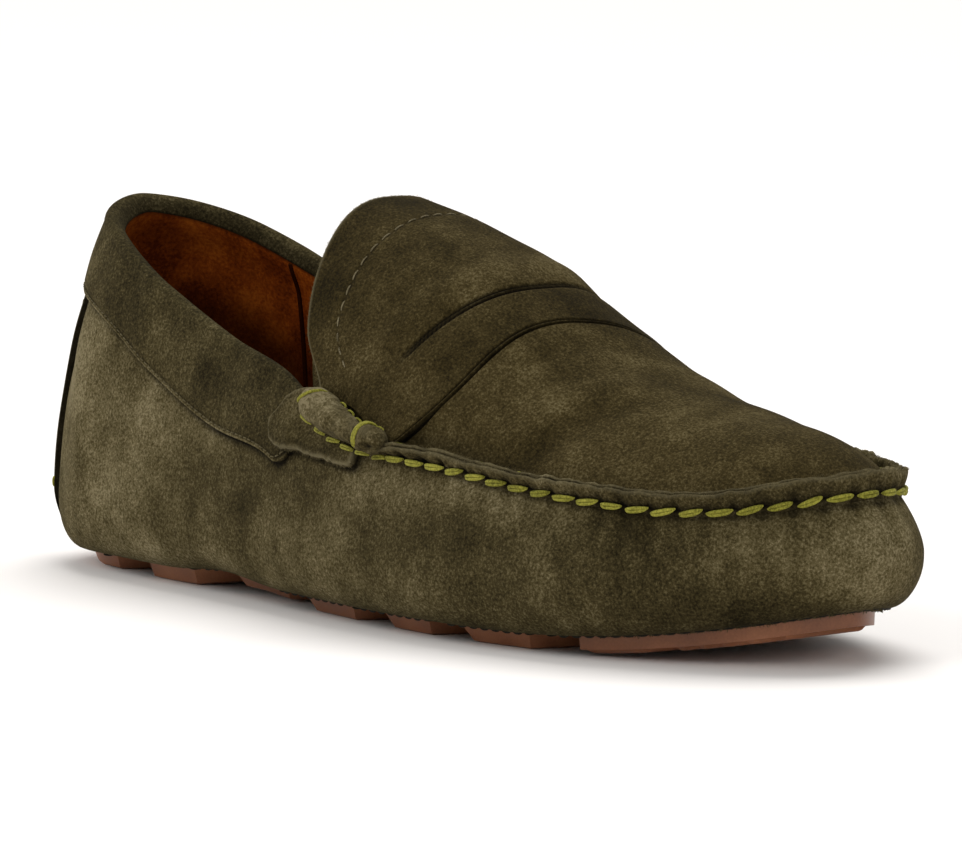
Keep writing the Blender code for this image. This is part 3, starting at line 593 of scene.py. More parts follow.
def threadMaterial(name, dark, light):
    material, where, feed, _ = newMaterial(name, {"Roughness": 0.7, "Specular IOR Level": 0.15})
    fibre = where.noise(0.4, 3.0, 0.6, (1.0, 1.0, 0.6))
    cloud = where.noise(9.0, 2.0, 0.5)
    tone = (0.5 + (fibre - 0.5) * 2.2 + (cloud - 0.5) * 1.2).clip(0.0, 1.0)
    feed("Base Color", tone.mixed(dark, light))
    feed("Normal", fibre.bump(0.7, 0.15))
    return material


suede = suedeMaterial("suede", suedeLook, 1)
plugSuede = suedeMaterial("plugSuede", plugLook, 2)
lining = liningMaterial("lining")
rubber = rubberMaterial("rubber", False)
rubberDots = rubberMaterial("rubberDots", True)
limeThread = threadMaterial("limeThread", srgb(80, 78, 14), srgb(154, 150, 60))
tanThread = threadMaterial("tanThread", srgb(72, 64, 42), srgb(124, 114, 86))
oliveThread = threadMaterial("oliveThread", srgb(58, 51, 30), srgb(100, 91, 62))
darkThread = threadMaterial("darkThread", srgb(14, 12, 7), srgb(38, 34, 20))
print("materials ready")
rawEdges = []  # line of points and lean of the hairs on it, then their distance, length and thickness

# padded collar band, whose sizes the wall below it needs too
collarShape = {"edge": 1.7, "middle": 1.9, "top": 1.5, "liningDrop": 10.0, "end": 127.5, "corner": 8.0,
               "stitchUp": 1.0, "stitchDepth": 0.4, "beadGap": 0.5, "columns": 300, "rows": 26}
collarDepth = (  # x and drop of the lower edge below the rim
    (0.0, 18.0), (25.0, 16.6), (45.0, 16.2), (63.0, 17.6),
    (80.0, 18.3), (96.0, 18.0), (112.0, 16.6), (128.0, 15.0),
)


def collarDrop(x):
    # the front corner of the lower edge is rounded
    turn = np.clip((x - collarShape["end"]) / collarShape["corner"] + 1, 0, 1)
    return readTable(x, collarDepth) - collarShape["corner"] * (1 - np.sqrt(1 - turn ** 2))


def collarShadow(x, below):
    behind = smoothStep(collarShape["end"] - x, -1.0, 2.0)
    return bell(below - collarDrop(x) - 0.5, 1.1) * behind


# raw-edged flaps below the rolls; they shade the wall too
flapTable = (  # x, drop of the upper and the lower edge below the rim, distance out of the wall
    (119.4, 6.6, 7.8, 2.3), (120.0, 4.9, 9.3, 2.3), (121.4, 2.6, 10.7, 2.3), (123.4, 0.0, 11.3, 2.3),
    (126.0, -2.3, 11.2, 2.3), (128.6, -3.8, 10.6, 2.2), (130.8, -4.6, 10.0, 1.4), (132.2, -2.5, 9.5, 0.9),
    (133.4, 0.2, 9.2, 0.8), (143.0, 0.2, 6.9, 0.7), (151.5, 0.2, 5.8, 0.7), (153.6, 0.6, 5.2, 0.7),
    (154.5, 1.4, 4.2, 0.7),
)
# painted shade beside the flap's edges, under the roll and on its back; rawEdge is the pale cut edge
flap = {"thick": 1.9, "columns": 160, "rows": 34, "ragged": 0.12, "curl": 0.4, "rim": 0.7, "shadow": 0.9,
        "rawEdge": 0.95, "edgeLine": 0.2, "shadeUnderRoll": 0.6, "inside": 0.7, "tone": -0.04}
flapHairs = ((0.12, 0.8, 0.08), (0.12, 0.7, 0.08))  # on the lower and the rear edge


def flapShadow(x, below):
    # shade by the distance to the edge of the flap
    table = np.array(flapTable)
    loop = np.vstack([table[:, [0, 1]], table[::-1][:, [0, 2]]])
    spots = np.stack([x, below], axis=-1)
    nearest = np.full(np.shape(x), 99.0)
    for a, b in zip(loop[:-1], loop[1:]):
        run = b - a
        along = np.clip((spots - a) @ run / max(run @ run, 1e-9), 0, 1)
        nearest = np.minimum(nearest, np.linalg.norm(spots - a - along[..., None] * run, axis=-1))
    return flap["shadow"] * bell(nearest, 1.1)


# wall of the upper
wallMesh = {"heelColumns": 102, "foreColumns": 132, "tuckRows": 12, "wallRows": 46, "uneven": 0.22,
            "unevenSize": 34.0}
wallShade = {"seamLine": 0.35, "stitchDips": 0.35, "soleEdge": 0.25, "puckers": 0.1, "liningLow": 0.65,
             "liningHeel": 0.5, "liningMost": 0.85}
wallCreases = (  # side, x and height of both ends, half width, depth
    (-1, 12.0, 66.0, 20.0, 22.0, 4.5, -0.6),
    (-1, 22.0, 60.0, 34.0, 20.0, 5.0, 0.5),
    (-1, 36.0, 56.0, 47.0, 20.0, 5.5, -0.55),
    (-1, 56.0, 46.0, 66.0, 19.0, 7.0, 0.45),
    (-1, 76.0, 40.0, 92.0, 18.0, 7.0, -0.4),
    (-1, 118.0, 31.0, 165.0, 24.0, 5.5, -0.55),
    (-1, 196.0, 30.0, 236.0, 26.0, 5.0, 0.4),
    (-1, 250.0, 34.0, 262.0, 22.0, 5.0, -0.35),
    (1, 20.0, 60.0, 40.0, 24.0, 6.0, -0.55),
    (1, 44.0, 54.0, 60.0, 20.0, 6.0, 0.45),
    (1, 110.0, 30.0, 160.0, 22.0, 6.0, -0.5),
    (1, 190.0, 32.0, 240.0, 26.0, 6.0, 0.4),
)
# painted light on the wall, such as the bright heel edge, the toe tip and the lower heel, mixed with patches
# of the suede's own tone
wallLightAndTone = (  # side, x, height over the floor, reach along and up, lighter or darker
    (-1, 18.0, 42.0, 16.0, 24.0, 0.38),
    (-1, 46.0, 22.0, 20.0, 12.0, 0.28),
    (-1, 60.0, 42.0, 15.0, 11.0, 0.24),
    (-1, 88.0, 38.0, 12.0, 10.0, 0.2),
    (-1, 80.0, 9.0, 34.0, 7.0, 0.2),
    (-1, 92.0, 24.0, 18.0, 11.0, -0.05),
    (-1, 128.0, 30.0, 20.0, 7.0, -0.05),
    (-1, 150.0, 20.0, 26.0, 8.0, 0.07),
    (-1, 178.0, 35.0, 20.0, 6.0, 0.26),
    (-1, 210.0, 37.0, 14.0, 5.0, 0.2),
    (-1, 200.0, 23.0, 26.0, 10.0, -0.16),
    (-1, 238.0, 31.0, 16.0, 9.0, -0.1),
    (-1, 268.0, 14.0, 13.0, 8.0, -0.24),
    (-1, 286.5, 26.0, 5.0, 14.0, 0.24),
    (-1, 292.0, 32.0, 7.0, 15.0, 0.14),
    (1, 292.0, 32.0, 7.0, 15.0, 0.14),
    (1, 292.0, 26.0, 4.0, 14.0, 0.1),
    (1, 18.0, 42.0, 18.0, 24.0, 0.25),
    (1, 110.0, 26.0, 30.0, 12.0, -0.06),
    (1, 200.0, 26.0, 30.0, 12.0, -0.09),
)
seam = {"from": 165.3, "pitch": 6.9, "pucker": 0.85, "puckerReach": 6.0, "riseReach": 14.0, "foot": 2.2}
seamRise = (  # x, rise of the wall's upper edge, rise of the ridge's foot on it
    (158.0, 0.0, 0.0), (166.0, 1.1, 1.1), (200.0, 0.6, 1.1), (233.0, 0.4, 1.2),
    (258.0, 0.3, 1.2), (272.0, 0.0, 0.5), (282.0, 0.0, 0.0),
)


def wallColumns():
    outer = knotAt(wall["throat"], -1)
    inner = knotAt(wall["throat"], 1)
    heel = wallMesh["heelColumns"]
    fore = wallMesh["foreColumns"]
    return np.concatenate([
        np.linspace(0, outer, heel, endpoint=False),
        np.linspace(outer, toeKnot, fore, endpoint=False),
        np.linspace(toeKnot, inner, fore, endpoint=False),
        np.linspace(inner, lapKnot, heel, endpoint=False),
    ])


def insetRing(t, distanceAt):
    point, normal = outline(t)
    return point - normal * distanceAt(point[..., 0])[..., None]


def wallGrid(t):
    point = outline(t)[0]
    bottom = insetRing(t, tuck)
    low = tread(bottom[:, 0]) + sole["lugHeight"]
    middle = widest(point[:, 0])
    rows = []
    for k in range(wallMesh["tuckRows"]):
        angle = 0.5 * np.pi * k / wallMesh["tuckRows"]
        plan = bottom + (point - bottom) * np.sin(angle)
        rows.append(np.column_stack([plan, low + (middle - low) * (1 - np.cos(angle))]))
    for k in range(wallMesh["wallRows"] + 1):
        rows.append(wallPoint(t, k / wallMesh["wallRows"]))
    return np.array(rows)


def creaseDepth(x, y, creases, before, after):
    # straight folds: their two ends, half width and depth; they fade in from before to after each end
    depth = np.zeros_like(x)
    for x0, y0, x1, y1, width, height in creases:
        run = np.array([x1 - x0, y1 - y0])
        long = np.linalg.norm(run)
        along = ((x - x0) * run[0] + (y - y0) * run[1]) / long
        across = ((x - x0) * run[1] - (y - y0) * run[0]) / long
        fade = smoothStep(along, -before * long, after * long)
        fade = fade * smoothStep(long - along, -before * long, after * long)
        depth += height * bell(across, width) * fade
    return depth


def toneSpots(x, y, spots):
    tone = np.zeros_like(x)
    for spotX, spotY, long, wide, change in spots:
        tone += change * bell(x - spotX, long) * bell(y - spotY, wide)
    return tone


def perSide(side, rows, build):
    # each row starts with its side of the shoe, -1 for the outer one
    outer, inner = (build([row[1:] for row in rows if row[0] == sign]) for sign in (-1, 1))
    return np.where(side < 0, outer, inner)


# arc length along the rim from the outer end of the seam, for stitches and puckers
def seamSides(count):
    start = stepAt(seam["from"])
    steps = np.linspace(start, wall["foreSteps"], count)
    sides = np.concatenate([np.full(count, -1), np.full(count - 1, 1)])
    return np.concatenate([steps, steps[::-1][1:]]), sides


def rimAlong(steps, sides):
    return np.where(sides[:, None] < 0, rimPoint(steps, -1), rimPoint(steps, 1))


fineSteps, fineSides = seamSides(900)
fineRim = rimAlong(fineSteps, fineSides)
fineArc = arcLength(fineRim)
fineKey = np.where(fineSides < 0, fineSteps, 2 * wall["foreSteps"] - fineSteps)
stitchCount = int(round(fineArc[-1] / seam["pitch"]))
stitchPitch = fineArc[-1] / stitchCount


def seamArc(key):
    return np.interp(key, fineKey, fineArc)


def columnKeys(t):
    # key along the seam of each wall column: steps on the outer side, then on past the toe
    outer = knotAt(wall["throat"], -1)
    inner = knotAt(wall["throat"], 1)
    first = wall["foreSteps"] * (t - outer) / (toeKnot - outer)
    second = 2 * wall["foreSteps"] - wall["foreSteps"] * (t - inner) / (toeKnot - inner)
    return np.where(t <= toeKnot, first, second)


def buildWall():
    t = wallColumns()
    grid = wallGrid(t)
    rows, columns = grid.shape[:2]
    nearTop = smoothStep(grid[..., 2] - grid[-1][:, 2], -seam["riseReach"], 0.0)
    grid[..., 2] += readStraight(grid[-1][:, 0], seamRise, 1) * nearTop
    normal = gridNormals(grid, wrap=True)
    inside = grid - normal * wall["suede"]
    side = np.where(t <= toeKnot, -1, 1)[None, :] * np.ones((rows, 1))
    x = grid[..., 0]
    z = grid[..., 2]
    depth = perSide(side, wallCreases, lambda rows: creaseDepth(x, z, rows, 0.3, 0.2))
    uneven = softNoise(grid, wallMesh["unevenSize"], 3)
    depth += wallMesh["uneven"] * uneven * smoothStep(z - tread(x), 5.0, 14.0)
    key = columnKeys(t)
    onSeam = smoothStep(key - fineKey[0], 0.0, 0.8) * smoothStep(fineKey[-1] - key, 0.0, 0.8)
    below = grid[-1][:, 2] - z
    wave = np.abs(np.cos(np.pi * seamArc(key) / stitchPitch)) ** 3
    pull = np.exp(-np.clip(below - 2.0, 0, None) / seam["puckerReach"]) * smoothStep(below, 0.2, 2.0)
    depth -= seam["pucker"] * (wave * (0.6 + 0.4 * softNoise(grid[-1], 9.0, 4)) * onSeam) * pull
    outside = grid + normal * depth[..., None]
    foot = seam["foot"] - readStraight(grid[-1][:, 0], seamRise, 2)
    # painted shade along the foot of the seam ridge and at its stitch holes, darker along the sole, and the
    # painted shadows of the collar and the flaps
    dark = (wallShade["seamLine"] + wallShade["stitchDips"] * wave) * bell(below - foot, 0.9) * onSeam
    dark += wallShade["soleEdge"] * bell(z - tread(x) - sole["lugHeight"], 1.6)
    dark += collarShadow(x, below) + flapShadow(x, below)
    tone = perSide(side, wallLightAndTone, lambda rows: toneSpots(x, z, rows))
    # painted light and shade on the puckers below the seam, darker in their dips
    tone += wallShade["puckers"] * (0.5 - wave) * onSeam * np.exp(-np.clip(below - 3.0, 0, None) / 7.0)
    # painted shade down the inside of the lining, more towards the bottom and the heel
    paintedLiningShade = wallShade["liningLow"] * smoothStep(below, 12.0, 36.0)
    paintedLiningShade += wallShade["liningHeel"] * smoothStep(-x, -70.0, -14.0)
    half = rows * columns
    faces = gridFaces(rows, columns, wrap=True)
    back = [quad[::-1] for quad in gridFaces(rows, columns, wrap=True, start=half)]
    rim = []
    top = (rows - 1) * columns
    for j in range(columns):
        k = (j + 1) % columns
        rim.append([top + j, top + k, half + top + k, half + top + j])
        rim.append([k, j, half + j, half + k])
    kinds = [0] * len(faces) + [1] * len(back) + [0] * len(rim)
    faces += back + rim
    points = bothSides(outside, inside)
    marks = {"dark": bothSides(np.clip(dark, 0, 1), np.clip(paintedLiningShade, 0, wallShade["liningMost"])),
             "tone": bothSides(tone, 0 * tone)}
    return addPiece("upperWall", points, faces, [suede, lining], "suede", kinds, marks, ["upper"])


buildWall()

# plug
plugMesh = {"hiddenRows": 24, "edgeRows": 14, "edgeSpan": 1.4, "rows": 120, "columns": 97, "lift": 2.1,
            "liftReach": 20.0, "stepLong": 9.2, "halfWidth": 46.0, "uneven": 0.2, "unevenSize": 26.0}
# painted shade beside the rim; folds paints the raised folds lighter and their hollows darker
plugShade = {"rim": 0.35, "folds": 0.16, "base": -0.02}
plugCreases = (  # x and y of both ends, half width, depth
    (198.0, -41.0, 214.0, -8.0, 4.0, 0.75),
    (206.0, -42.0, 223.0, -12.0, 4.0, -0.65),
    (215.0, -42.0, 231.0, -14.0, 4.5, 0.5),
    (190.0, -30.0, 197.0, 0.0, 4.0, -0.45),
    (230.0, -34.0, 252.0, 2.0, 7.0, 0.45),
    (198.0, 38.0, 216.0, 8.0, 5.5, 0.25),
    (208.0, 40.0, 228.0, 10.0, 6.0, -0.2),
)
# painted light along the soft folds, mixed with patches of the suede's own tone
plugLightAndTone = (  # x, y, reach along and across, lighter or darker
    (193.0, -30.0, 5.0, 6.0, 0.08),
    (204.0, -4.0, 6.0, 10.0, 0.16),
    (202.0, -36.0, 9.0, 5.0, -0.1),
    (206.0, -27.0, 7.0, 6.0, 0.04),
    (217.0, -18.0, 6.0, 7.0, 0.13),
    (218.0, -30.0, 9.0, 6.0, -0.04),
    (232.0, -24.0, 8.0, 7.0, -0.05),
    (241.0, -18.0, 10.0, 10.0, 0.07),
    (240.0, -31.0, 10.0, 5.0, 0.11),
    (250.0, -6.0, 10.0, 16.0, -0.06),
    (261.0, -20.0, 9.0, 9.0, 0.14),
    (236.0, 12.0, 16.0, 10.0, -0.05),
)
tongueShape = {"thick": 1.6, "frontSide": 177.0, "frontCrown": 193.0, "frontPower": 8.0, "frontSkew": 7.5,
               "aboveRoll": 7.7, "aboveSeam": 3.4, "gap": 0.55, "rollFrom": 132.5}


def tongueFront(share):
    sideStep = stepAt(tongueShape["frontSide"])
    crownStep = stepAt(tongueShape["frontCrown"])
    skew = stepAt(tongueShape["frontCrown"] + tongueShape["frontSkew"]) - crownStep
    return crownStep + skew * share + (sideStep - crownStep) * np.abs(share) ** tongueShape["frontPower"]


def tongueReach(step):
    rise = plugPoint(step, 0.0)[..., 2] - 0.5 * (rimPoint(step, -1) + rimPoint(step, 1))[..., 2]
    rear = stepAt(tongueShape["rollFrom"])
    ahead = np.clip((step - rear) / (stepAt(tongueShape["frontSide"]) - rear), 0, 1)
    lower = smoothStep(ahead, 0.4, 0.72)
    clear = tongueShape["aboveRoll"] + (tongueShape["aboveSeam"] - tongueShape["aboveRoll"]) * lower
    return np.clip(1 - clear / rise, 0.02, 1) ** (1 / plugPower(step))


def buildPlug():
    across = np.sin(0.5 * np.pi * np.linspace(-1, 1, plugMesh["columns"]))[None, :]
    front = tongueFront(np.clip(across / tongueReach(stepAt(tongueShape["frontSide"])), -1, 1))
    # rows follow the front edge of the tongue, so that the line beside it stays sharp
    edgeSteps = plugMesh["edgeSpan"] / plugMesh["stepLong"]
    start = front + edgeSteps
    end = wall["foreSteps"] - 0.04
    steps = np.concatenate([
        front * np.linspace(0, 1, plugMesh["hiddenRows"], endpoint=False)[:, None],
        front + edgeSteps * np.linspace(0, 1, plugMesh["edgeRows"], endpoint=False)[:, None],
        start + (end - start) * np.linspace(0, 1, plugMesh["rows"])[:, None],
    ])
    grid = plugPoint(steps, across)
    x = grid[..., 0]
    y = grid[..., 1]
    normal = upNormals(grid)
    ahead = (steps - front) * plugMesh["stepLong"]
    fromRim = (1 - np.abs(across)) * plugMesh["halfWidth"] + 0 * steps
    lift = plugMesh["lift"] * bell(np.clip(ahead, 0, None), plugMesh["liftReach"])
    far = smoothStep(ahead, 2.0, 12.0)
    crease = creaseDepth(x, y, plugCreases, 0.2, 0.3) * far
    depth = lift * smoothStep(ahead, 0.2, 0.7) + crease
    depth += far * plugMesh["uneven"] * softNoise(grid, plugMesh["unevenSize"], 7)
    outside = grid + normal * (depth * smoothStep(fromRim, 2.0, 8.0))[..., None]
    inside = grid - normal * wall["suede"]
    # painted shadow just ahead of the tongue's front edge and painted shade near the rim; the inside is all
    # in shade colour
    dark = bell(ahead - 0.15, 0.4) + plugShade["rim"] * bell(fromRim - 2.0, 1.8)
    tone = toneSpots(x, y, plugLightAndTone) + plugShade["folds"] * crease + plugShade["base"]
    faces, kinds = shellFaces(*grid.shape[:2])
    points = bothSides(outside, inside)
    marks = {"dark": bothSides(np.clip(dark, 0, 1), np.ones_like(dark)), "tone": bothSides(tone, 0 * tone)}
    return addPiece("plug", points, faces, [plugSuede, lining], "suede", kinds, marks, ["upper"])


buildPlug()

# tongue and saddle
tongueMesh = {"rearRows": 60, "slitRows": 110, "frontRows": 40, "slitFrom": 0.5, "frontFrom": 0.94,
              "columns": 121, "edgeRound": 0.5, "pressLine": 0.95, "pressDepth": 0.45, "sewnDepth": 0.25,
              "rearRise": 0.7, "rearFrom": 0.86}
slit = {"crown": 174.3, "drop": 13.5, "halfSpan": 36.7, "power": 2.6, "apart": 0.62, "width": 0.38,
        "depth": 0.7, "swell": 0.55, "dip": 0.3}
# painted shade in the slit, the pressed line, the stitch groove and under the front edge; swell is a painted
# highlight on the bulge behind the slit; rawRear is the pale cut edge
tongueShade = {"slit": 0.5, "press": 0.85, "frontEdge": 0.6, "sewn": 0.3, "rawRear": 0.75, "base": -0.07,
               "saddle": -0.14, "swell": 0.06, "rear": -0.1}
tongueHairs = (0.35, 0.55, 0.07)
sewingLine = (  # share of the half width and step of the sewing along the rear edge
    (0.00, 1.47), (0.35, 1.46), (0.55, 1.32), (0.75, 1.19), (0.83, 1.18), (0.88, 1.36), (0.93, 1.80),
)


def tongueRear(share):
    return tongueMesh["rearRise"] * smoothStep(np.abs(share), tongueMesh["rearFrom"], 1.0) ** 2


def sewingStep(share):
    return readTable(np.abs(share), sewingLine)


def buildTongue():
    share = np.sin(np.linspace(-0.5 * np.pi, 0.5 * np.pi, tongueMesh["columns"]))[None, :]
    part = np.concatenate([
        np.linspace(0, tongueMesh["slitFrom"], tongueMesh["rearRows"], endpoint=False),
        np.linspace(tongueMesh["slitFrom"], tongueMesh["frontFrom"], tongueMesh["slitRows"], endpoint=False),
        np.linspace(tongueMesh["frontFrom"], 1, tongueMesh["frontRows"]),
    ])[:, None]
    rear = tongueRear(share)
    steps = rear + (tongueFront(share) - rear) * part
    grid = plugPoint(steps, share * tongueReach(steps))
    normal = upNormals(grid)
    top = grid + normal * (tongueShape["gap"] + tongueShape["thick"])
    toRear = np.cumsum(np.linalg.norm(np.diff(grid, axis=0, prepend=grid[:1]), axis=-1), axis=0)
    toFront = toRear[-1] - toRear
    span = np.abs(top[..., 1]) / slit["halfSpan"]
    away = top[..., 0] - (slit["crown"] - slit["drop"] * span ** slit["power"])
    fade = smoothStep(-span, -1.04, -0.96)
    lines = bell(np.abs(away) - slit["apart"], slit["width"])
    press = bell(toFront - tongueMesh["pressLine"], 0.3)
    sewn = bell((steps - sewingStep(share)) * plugMesh["stepLong"], 0.6)
    sewn = sewn * smoothStep(-np.abs(share), -0.93, -0.9)
    depth = 0.16 * softNoise(grid, 24.0, 9) * smoothStep(toFront, 1.5, 8.0)
    swell = slit["swell"] * bell(away + 8.0, 4.0) - slit["dip"] * bell(away, 2.4)
    depth += fade * (swell - slit["depth"] * lines)
    depth -= tongueMesh["pressDepth"] * press + tongueMesh["sewnDepth"] * sewn
    edge = np.clip(toFront / tongueMesh["edgeRound"], 0, 1)
    thick = tongueShape["thick"] * (0.6 + 0.4 * np.sqrt(1 - (1 - edge) ** 2))
    outside = grid + normal * (tongueShape["gap"] + thick + depth)[..., None]
    inside = grid + normal * tongueShape["gap"]
    rawEdges.append((outside[0], unit(outside[0] - outside[3]), *tongueHairs))
    # painted shade in the slit, the pressed line, under the front edge and in the stitch groove
    dark = fade * (lines + tongueShade["slit"] * bell(away, 0.5)) + tongueShade["press"] * press
    dark += tongueShade["frontEdge"] * bell(toFront, 0.3) + tongueShade["sewn"] * sewn
    pale = tongueShade["rawRear"] * bell(toRear, 0.5)
    tone = tongueShade["base"] + tongueShade["saddle"] * smoothStep(away, 0.0, 3.0) * fade
    # painted highlight on the swell behind the slit
    tone += tongueShade["swell"] * bell(away + 9.0, 5.0) + tongueShade["rear"] * bell(toRear - 7.0, 8.0)
    faces, kinds = shellFaces(*grid.shape[:2])
    points = bothSides(outside, inside)
    # the underside is painted in shade, fully at the front edge
    below = np.clip(bell(toFront, 1.0) + 0.4, 0, 1)
    marks = {"dark": bothSides(np.clip(dark, 0, 1), below), "pale": bothSides(pale, pale),
             "tone": bothSides(tone, tone)}
    return addPiece("tonguePiece", points, faces, [plugSuede, lining], "suede", kinds, marks, ["tongue"])


buildTongue()
print("upper built")

# collar band
# painted shade under the lower edge, in the stitch groove, on the inner side of the bead and down the lining,
# most at the heel; lip is a painted highlight along the lower edge
collarShade = {"lowEdge": 0.9, "stitchLine": 0.25, "topInside": 0.45, "liningTop": 0.9, "liningHeel": 0.55,
               "base": -0.19, "lip": 0.38}
collarTones = (  # side, x, height over the floor, reach along and up, lighter or darker
    (-1, 12.0, 82.0, 16.0, 14.0, 0.27),
    (-1, 112.0, 48.0, 12.0, 8.0, 0.1),
    (1, 12.0, 82.0, 16.0, 14.0, 0.2),
)


def collarKnots(count):
    return np.linspace(knotAt(collarShape["end"], 1) - lapKnot, knotAt(collarShape["end"], -1), count)


def buildCollar():
    t = collarKnots(collarShape["columns"])
    x = outline(t)[0][:, 0]
    gap = wall["gap"]
    drop = collarDrop(x)
    levels = ((0.0, collarShape["edge"]), (0.5, collarShape["middle"]), (1.0, collarShape["top"]))
    puff = 1 + 0.1 * softNoise(wallPoint(t, 1.0), 22.0, 11) - 0.2 * smoothStep(x, 106.0, 116.0)
    section = [wallPoint(t, shareBelowRim(x, drop), 0.1)]
    palette = [0]
    # painted shade under the lower edge
    dark = [np.full(len(t), collarShade["lowEdge"])]
    for rise in np.linspace(0, 1, collarShape["rows"]) ** 1.3:
        up = rise * drop
        thick = readTable(rise, levels) * puff * (0.8 + 0.2 * smoothStep(up, -0.2, 0.6))
        fromStitch = up - collarShape["stitchUp"]
        thick = thick - collarShape["stitchDepth"] * bell(fromStitch, 0.6)
        section.append(wallPoint(t, shareBelowRim(x, drop - up), gap + thick))
        palette.append(0)
        shade = collarShade["stitchLine"] * bell(fromStitch, 0.4) + flapShadow(x, drop - up)
        dark.append(np.clip(shade, 0, 1))
    outside = section[-1]
    inside = wallPoint(t, 1.0, -wall["suede"] - gap - collarShape["top"])
    for angle in np.radians(np.linspace(12, 168, 14)):
        bead = np.array([0.0, 0.0, wall["bead"] * np.sin(angle)])
        section.append(0.5 * (outside + inside) + 0.5 * (outside - inside) * np.cos(angle) + bead)
        palette.append(0)
        dark.append(np.full(len(t), collarShade["topInside"] * smoothStep(angle, 1.5, 2.6)))
    for down in np.linspace(0, collarShape["liningDrop"], 10):
        thick = (gap + collarShape["top"]) * (1 - smoothStep(down, 0.0, collarShape["liningDrop"])) + 0.04
        section.append(wallPoint(t, shareBelowRim(x, down), -wall["suede"] - thick))
        palette.append(1 if down > 0 else 0)
        shade = collarShade["liningHeel"] * smoothStep(-x, -64.0, -4.0)
        dark.append(np.maximum(collarShade["liningTop"] * bell(down, 0.8), shade))
    lift = np.array([0.0, 0.0, collarShape["beadGap"]])
    section.append(wallPoint(t, 1.0, -wall["suede"] - gap) + lift)
    section.append(wallPoint(t, 1.0, gap) + lift)
    palette += [1, 0]
    dark += [np.zeros(len(t)), np.zeros(len(t))]
    grid = np.array(section)
    rows, columns = grid.shape[:2]
    index = np.arange(rows * columns).reshape(rows, columns)
    faces = []
    kinds = []
    for i in range(rows):
        after = (i + 1) % rows
        for j in range(columns - 1):
            faces.append([index[i, j], index[i, j + 1], index[after, j + 1], index[after, j]])
            kinds.append(palette[after])
    faces.append(index[::-1, 0].tolist())
    faces.append(index[:, -1].tolist())
    kinds += [0, 0]
    x, y, z = np.moveaxis(grid, -1, 0)
    tone = perSide(y, collarTones, lambda rows: toneSpots(x, z, rows)) + collarShade["base"]
    # painted highlight along the lip of the lower edge
    tone += collarShade["lip"] * bell(np.arange(len(grid)) - 1.6, 1.3)[:, None]
    marks = {"dark": np.array(dark).ravel(), "tone": tone.ravel()}
    points = grid.reshape(-1, 3)
    piece = addPiece("collarBand", points, faces, [suede, lining], "suede", kinds, marks, ["collar"])
    return piece


buildCollar()

# raised seam round the plug: two cut edges side by side
ridge = {"width": 4.4, "height": 5.6, "tip": 2.9, "sections": 300, "wave": 0.3,
         # how upright it stands, by the distance from its rear end
         "uprightAt": (0.0, 30.0, 100.0, 122.0), "upright": (0.8, 3.0, 4.0, 9.0)}
# painted shade in the pleats and on the flanks; rawTop is the pale cut edge and mottling the suede's own tone
ridgeShade = {"pleats": 0.3, "rawTop": 0.35, "flank": -0.1, "mottling": 0.05}
ridgeProfile = (  # side of the ridge, share of its height, push inwards in mm, shade
    (-1.0, 0.00, 0.0, 0.7), (-1.0, 0.12, 0.15, 0.5), (-1.0, 0.24, 0.5, 0.9), (-1.0, 0.36, 0.35, 0.5),
    (-1.0, 0.50, 0.1, 0.15), (-1.0, 0.68, 0.0, 0.0), (-1.0, 0.85, 0.05, 0.0), (-0.85, 0.95, 0.0, 0.0),
    (-0.5, 1.00, 0.0, 0.0), (-0.2, 0.97, 0.0, 0.3), (0.0, 0.84, 0.0, 1.0), (0.2, 0.96, 0.0, 0.3),
    (0.5, 0.99, 0.0, 0.0), (0.85, 0.94, 0.0, 0.0), (1.0, 0.84, 0.0, 0.0), (1.0, 0.65, 0.0, 0.0),
    (1.0, 0.45, 0.1, 0.2), (1.0, 0.28, 0.45, 0.85), (1.0, 0.12, 0.15, 0.5), (1.0, 0.00, 0.0, 0.7),
)


def seamFrame(steps, sides):
    rim = rimAlong(steps, sides)
    t = np.where(sides < 0, knotAt(wall["throat"], -1), knotAt(wall["throat"], 1))
    t = t + (toeKnot - t) * steps / wall["foreSteps"]
    below = wallPoint(t, 5 / 6)
    full = wall["foreSteps"]
    near = plugPoint(np.minimum(steps, full - 1), 0.966 * sides)
    tip = np.clip(steps - (full - 1), 0, 1)[:, None]
    beyond = near * (1 - tip) + plugPoint(full - 1, 0.0) * tip
    along = unit(np.gradient(rim, axis=0))
    down = unit(squareTo(rim - below, along))
    inward = unit(squareTo(beyond - rim, along))
    wallOut = np.cross(along, down)
    plugOut = np.cross(along, inward)
    upright = np.interp(rim[:, 0] - seam["from"], ridge["uprightAt"], ridge["upright"])
    up = unit(wallOut + plugOut + upright[:, None] * np.array([0, 0, 1]))
    raised = rim + np.column_stack([0 * steps, 0 * steps, readStraight(rim[:, 0], seamRise, 1)])
    low = 0.5 * ridge["width"] - readStraight(rim[:, 0], seamRise, 2)
    footWall = raised - down * low[:, None] + wallOut * 0.1
    footPlug = rim + inward * 0.5 * ridge["width"] + plugOut * wall["gap"]
    side = unit(squareTo(footPlug - footWall, up))
    return {"rim": rim, "along": along, "corner": unit(wallOut + plugOut), "up": up, "side": side,
            "footWall": footWall, "footPlug": footPlug}


def ridgePoint(place, across, height, push, tall=1.0):
    # point on the skin of the ridge; tall is the local share of its full height
    foot = place["footWall"] if across < 0 else place["footPlug"]
    tip = place["rim"] + place["up"] * np.reshape(ridge["height"] * tall, (-1, 1))
    tip = tip + place["side"] * (0.5 * ridge["tip"] * across)
    inwards = np.reshape(push * np.sign(-across), (-1, 1))
    height = np.reshape(height, (-1, 1))
    return foot * (1 - height) + tip * height + place["side"] * inwards


def ridgeTall(far):
    # share of the full height by the distance from the nearer end
    return (0.85 + 0.15 * smoothStep(far, -1.0, 7.0)) * (1 - 0.14 * bell(far - 38.0, 22.0))


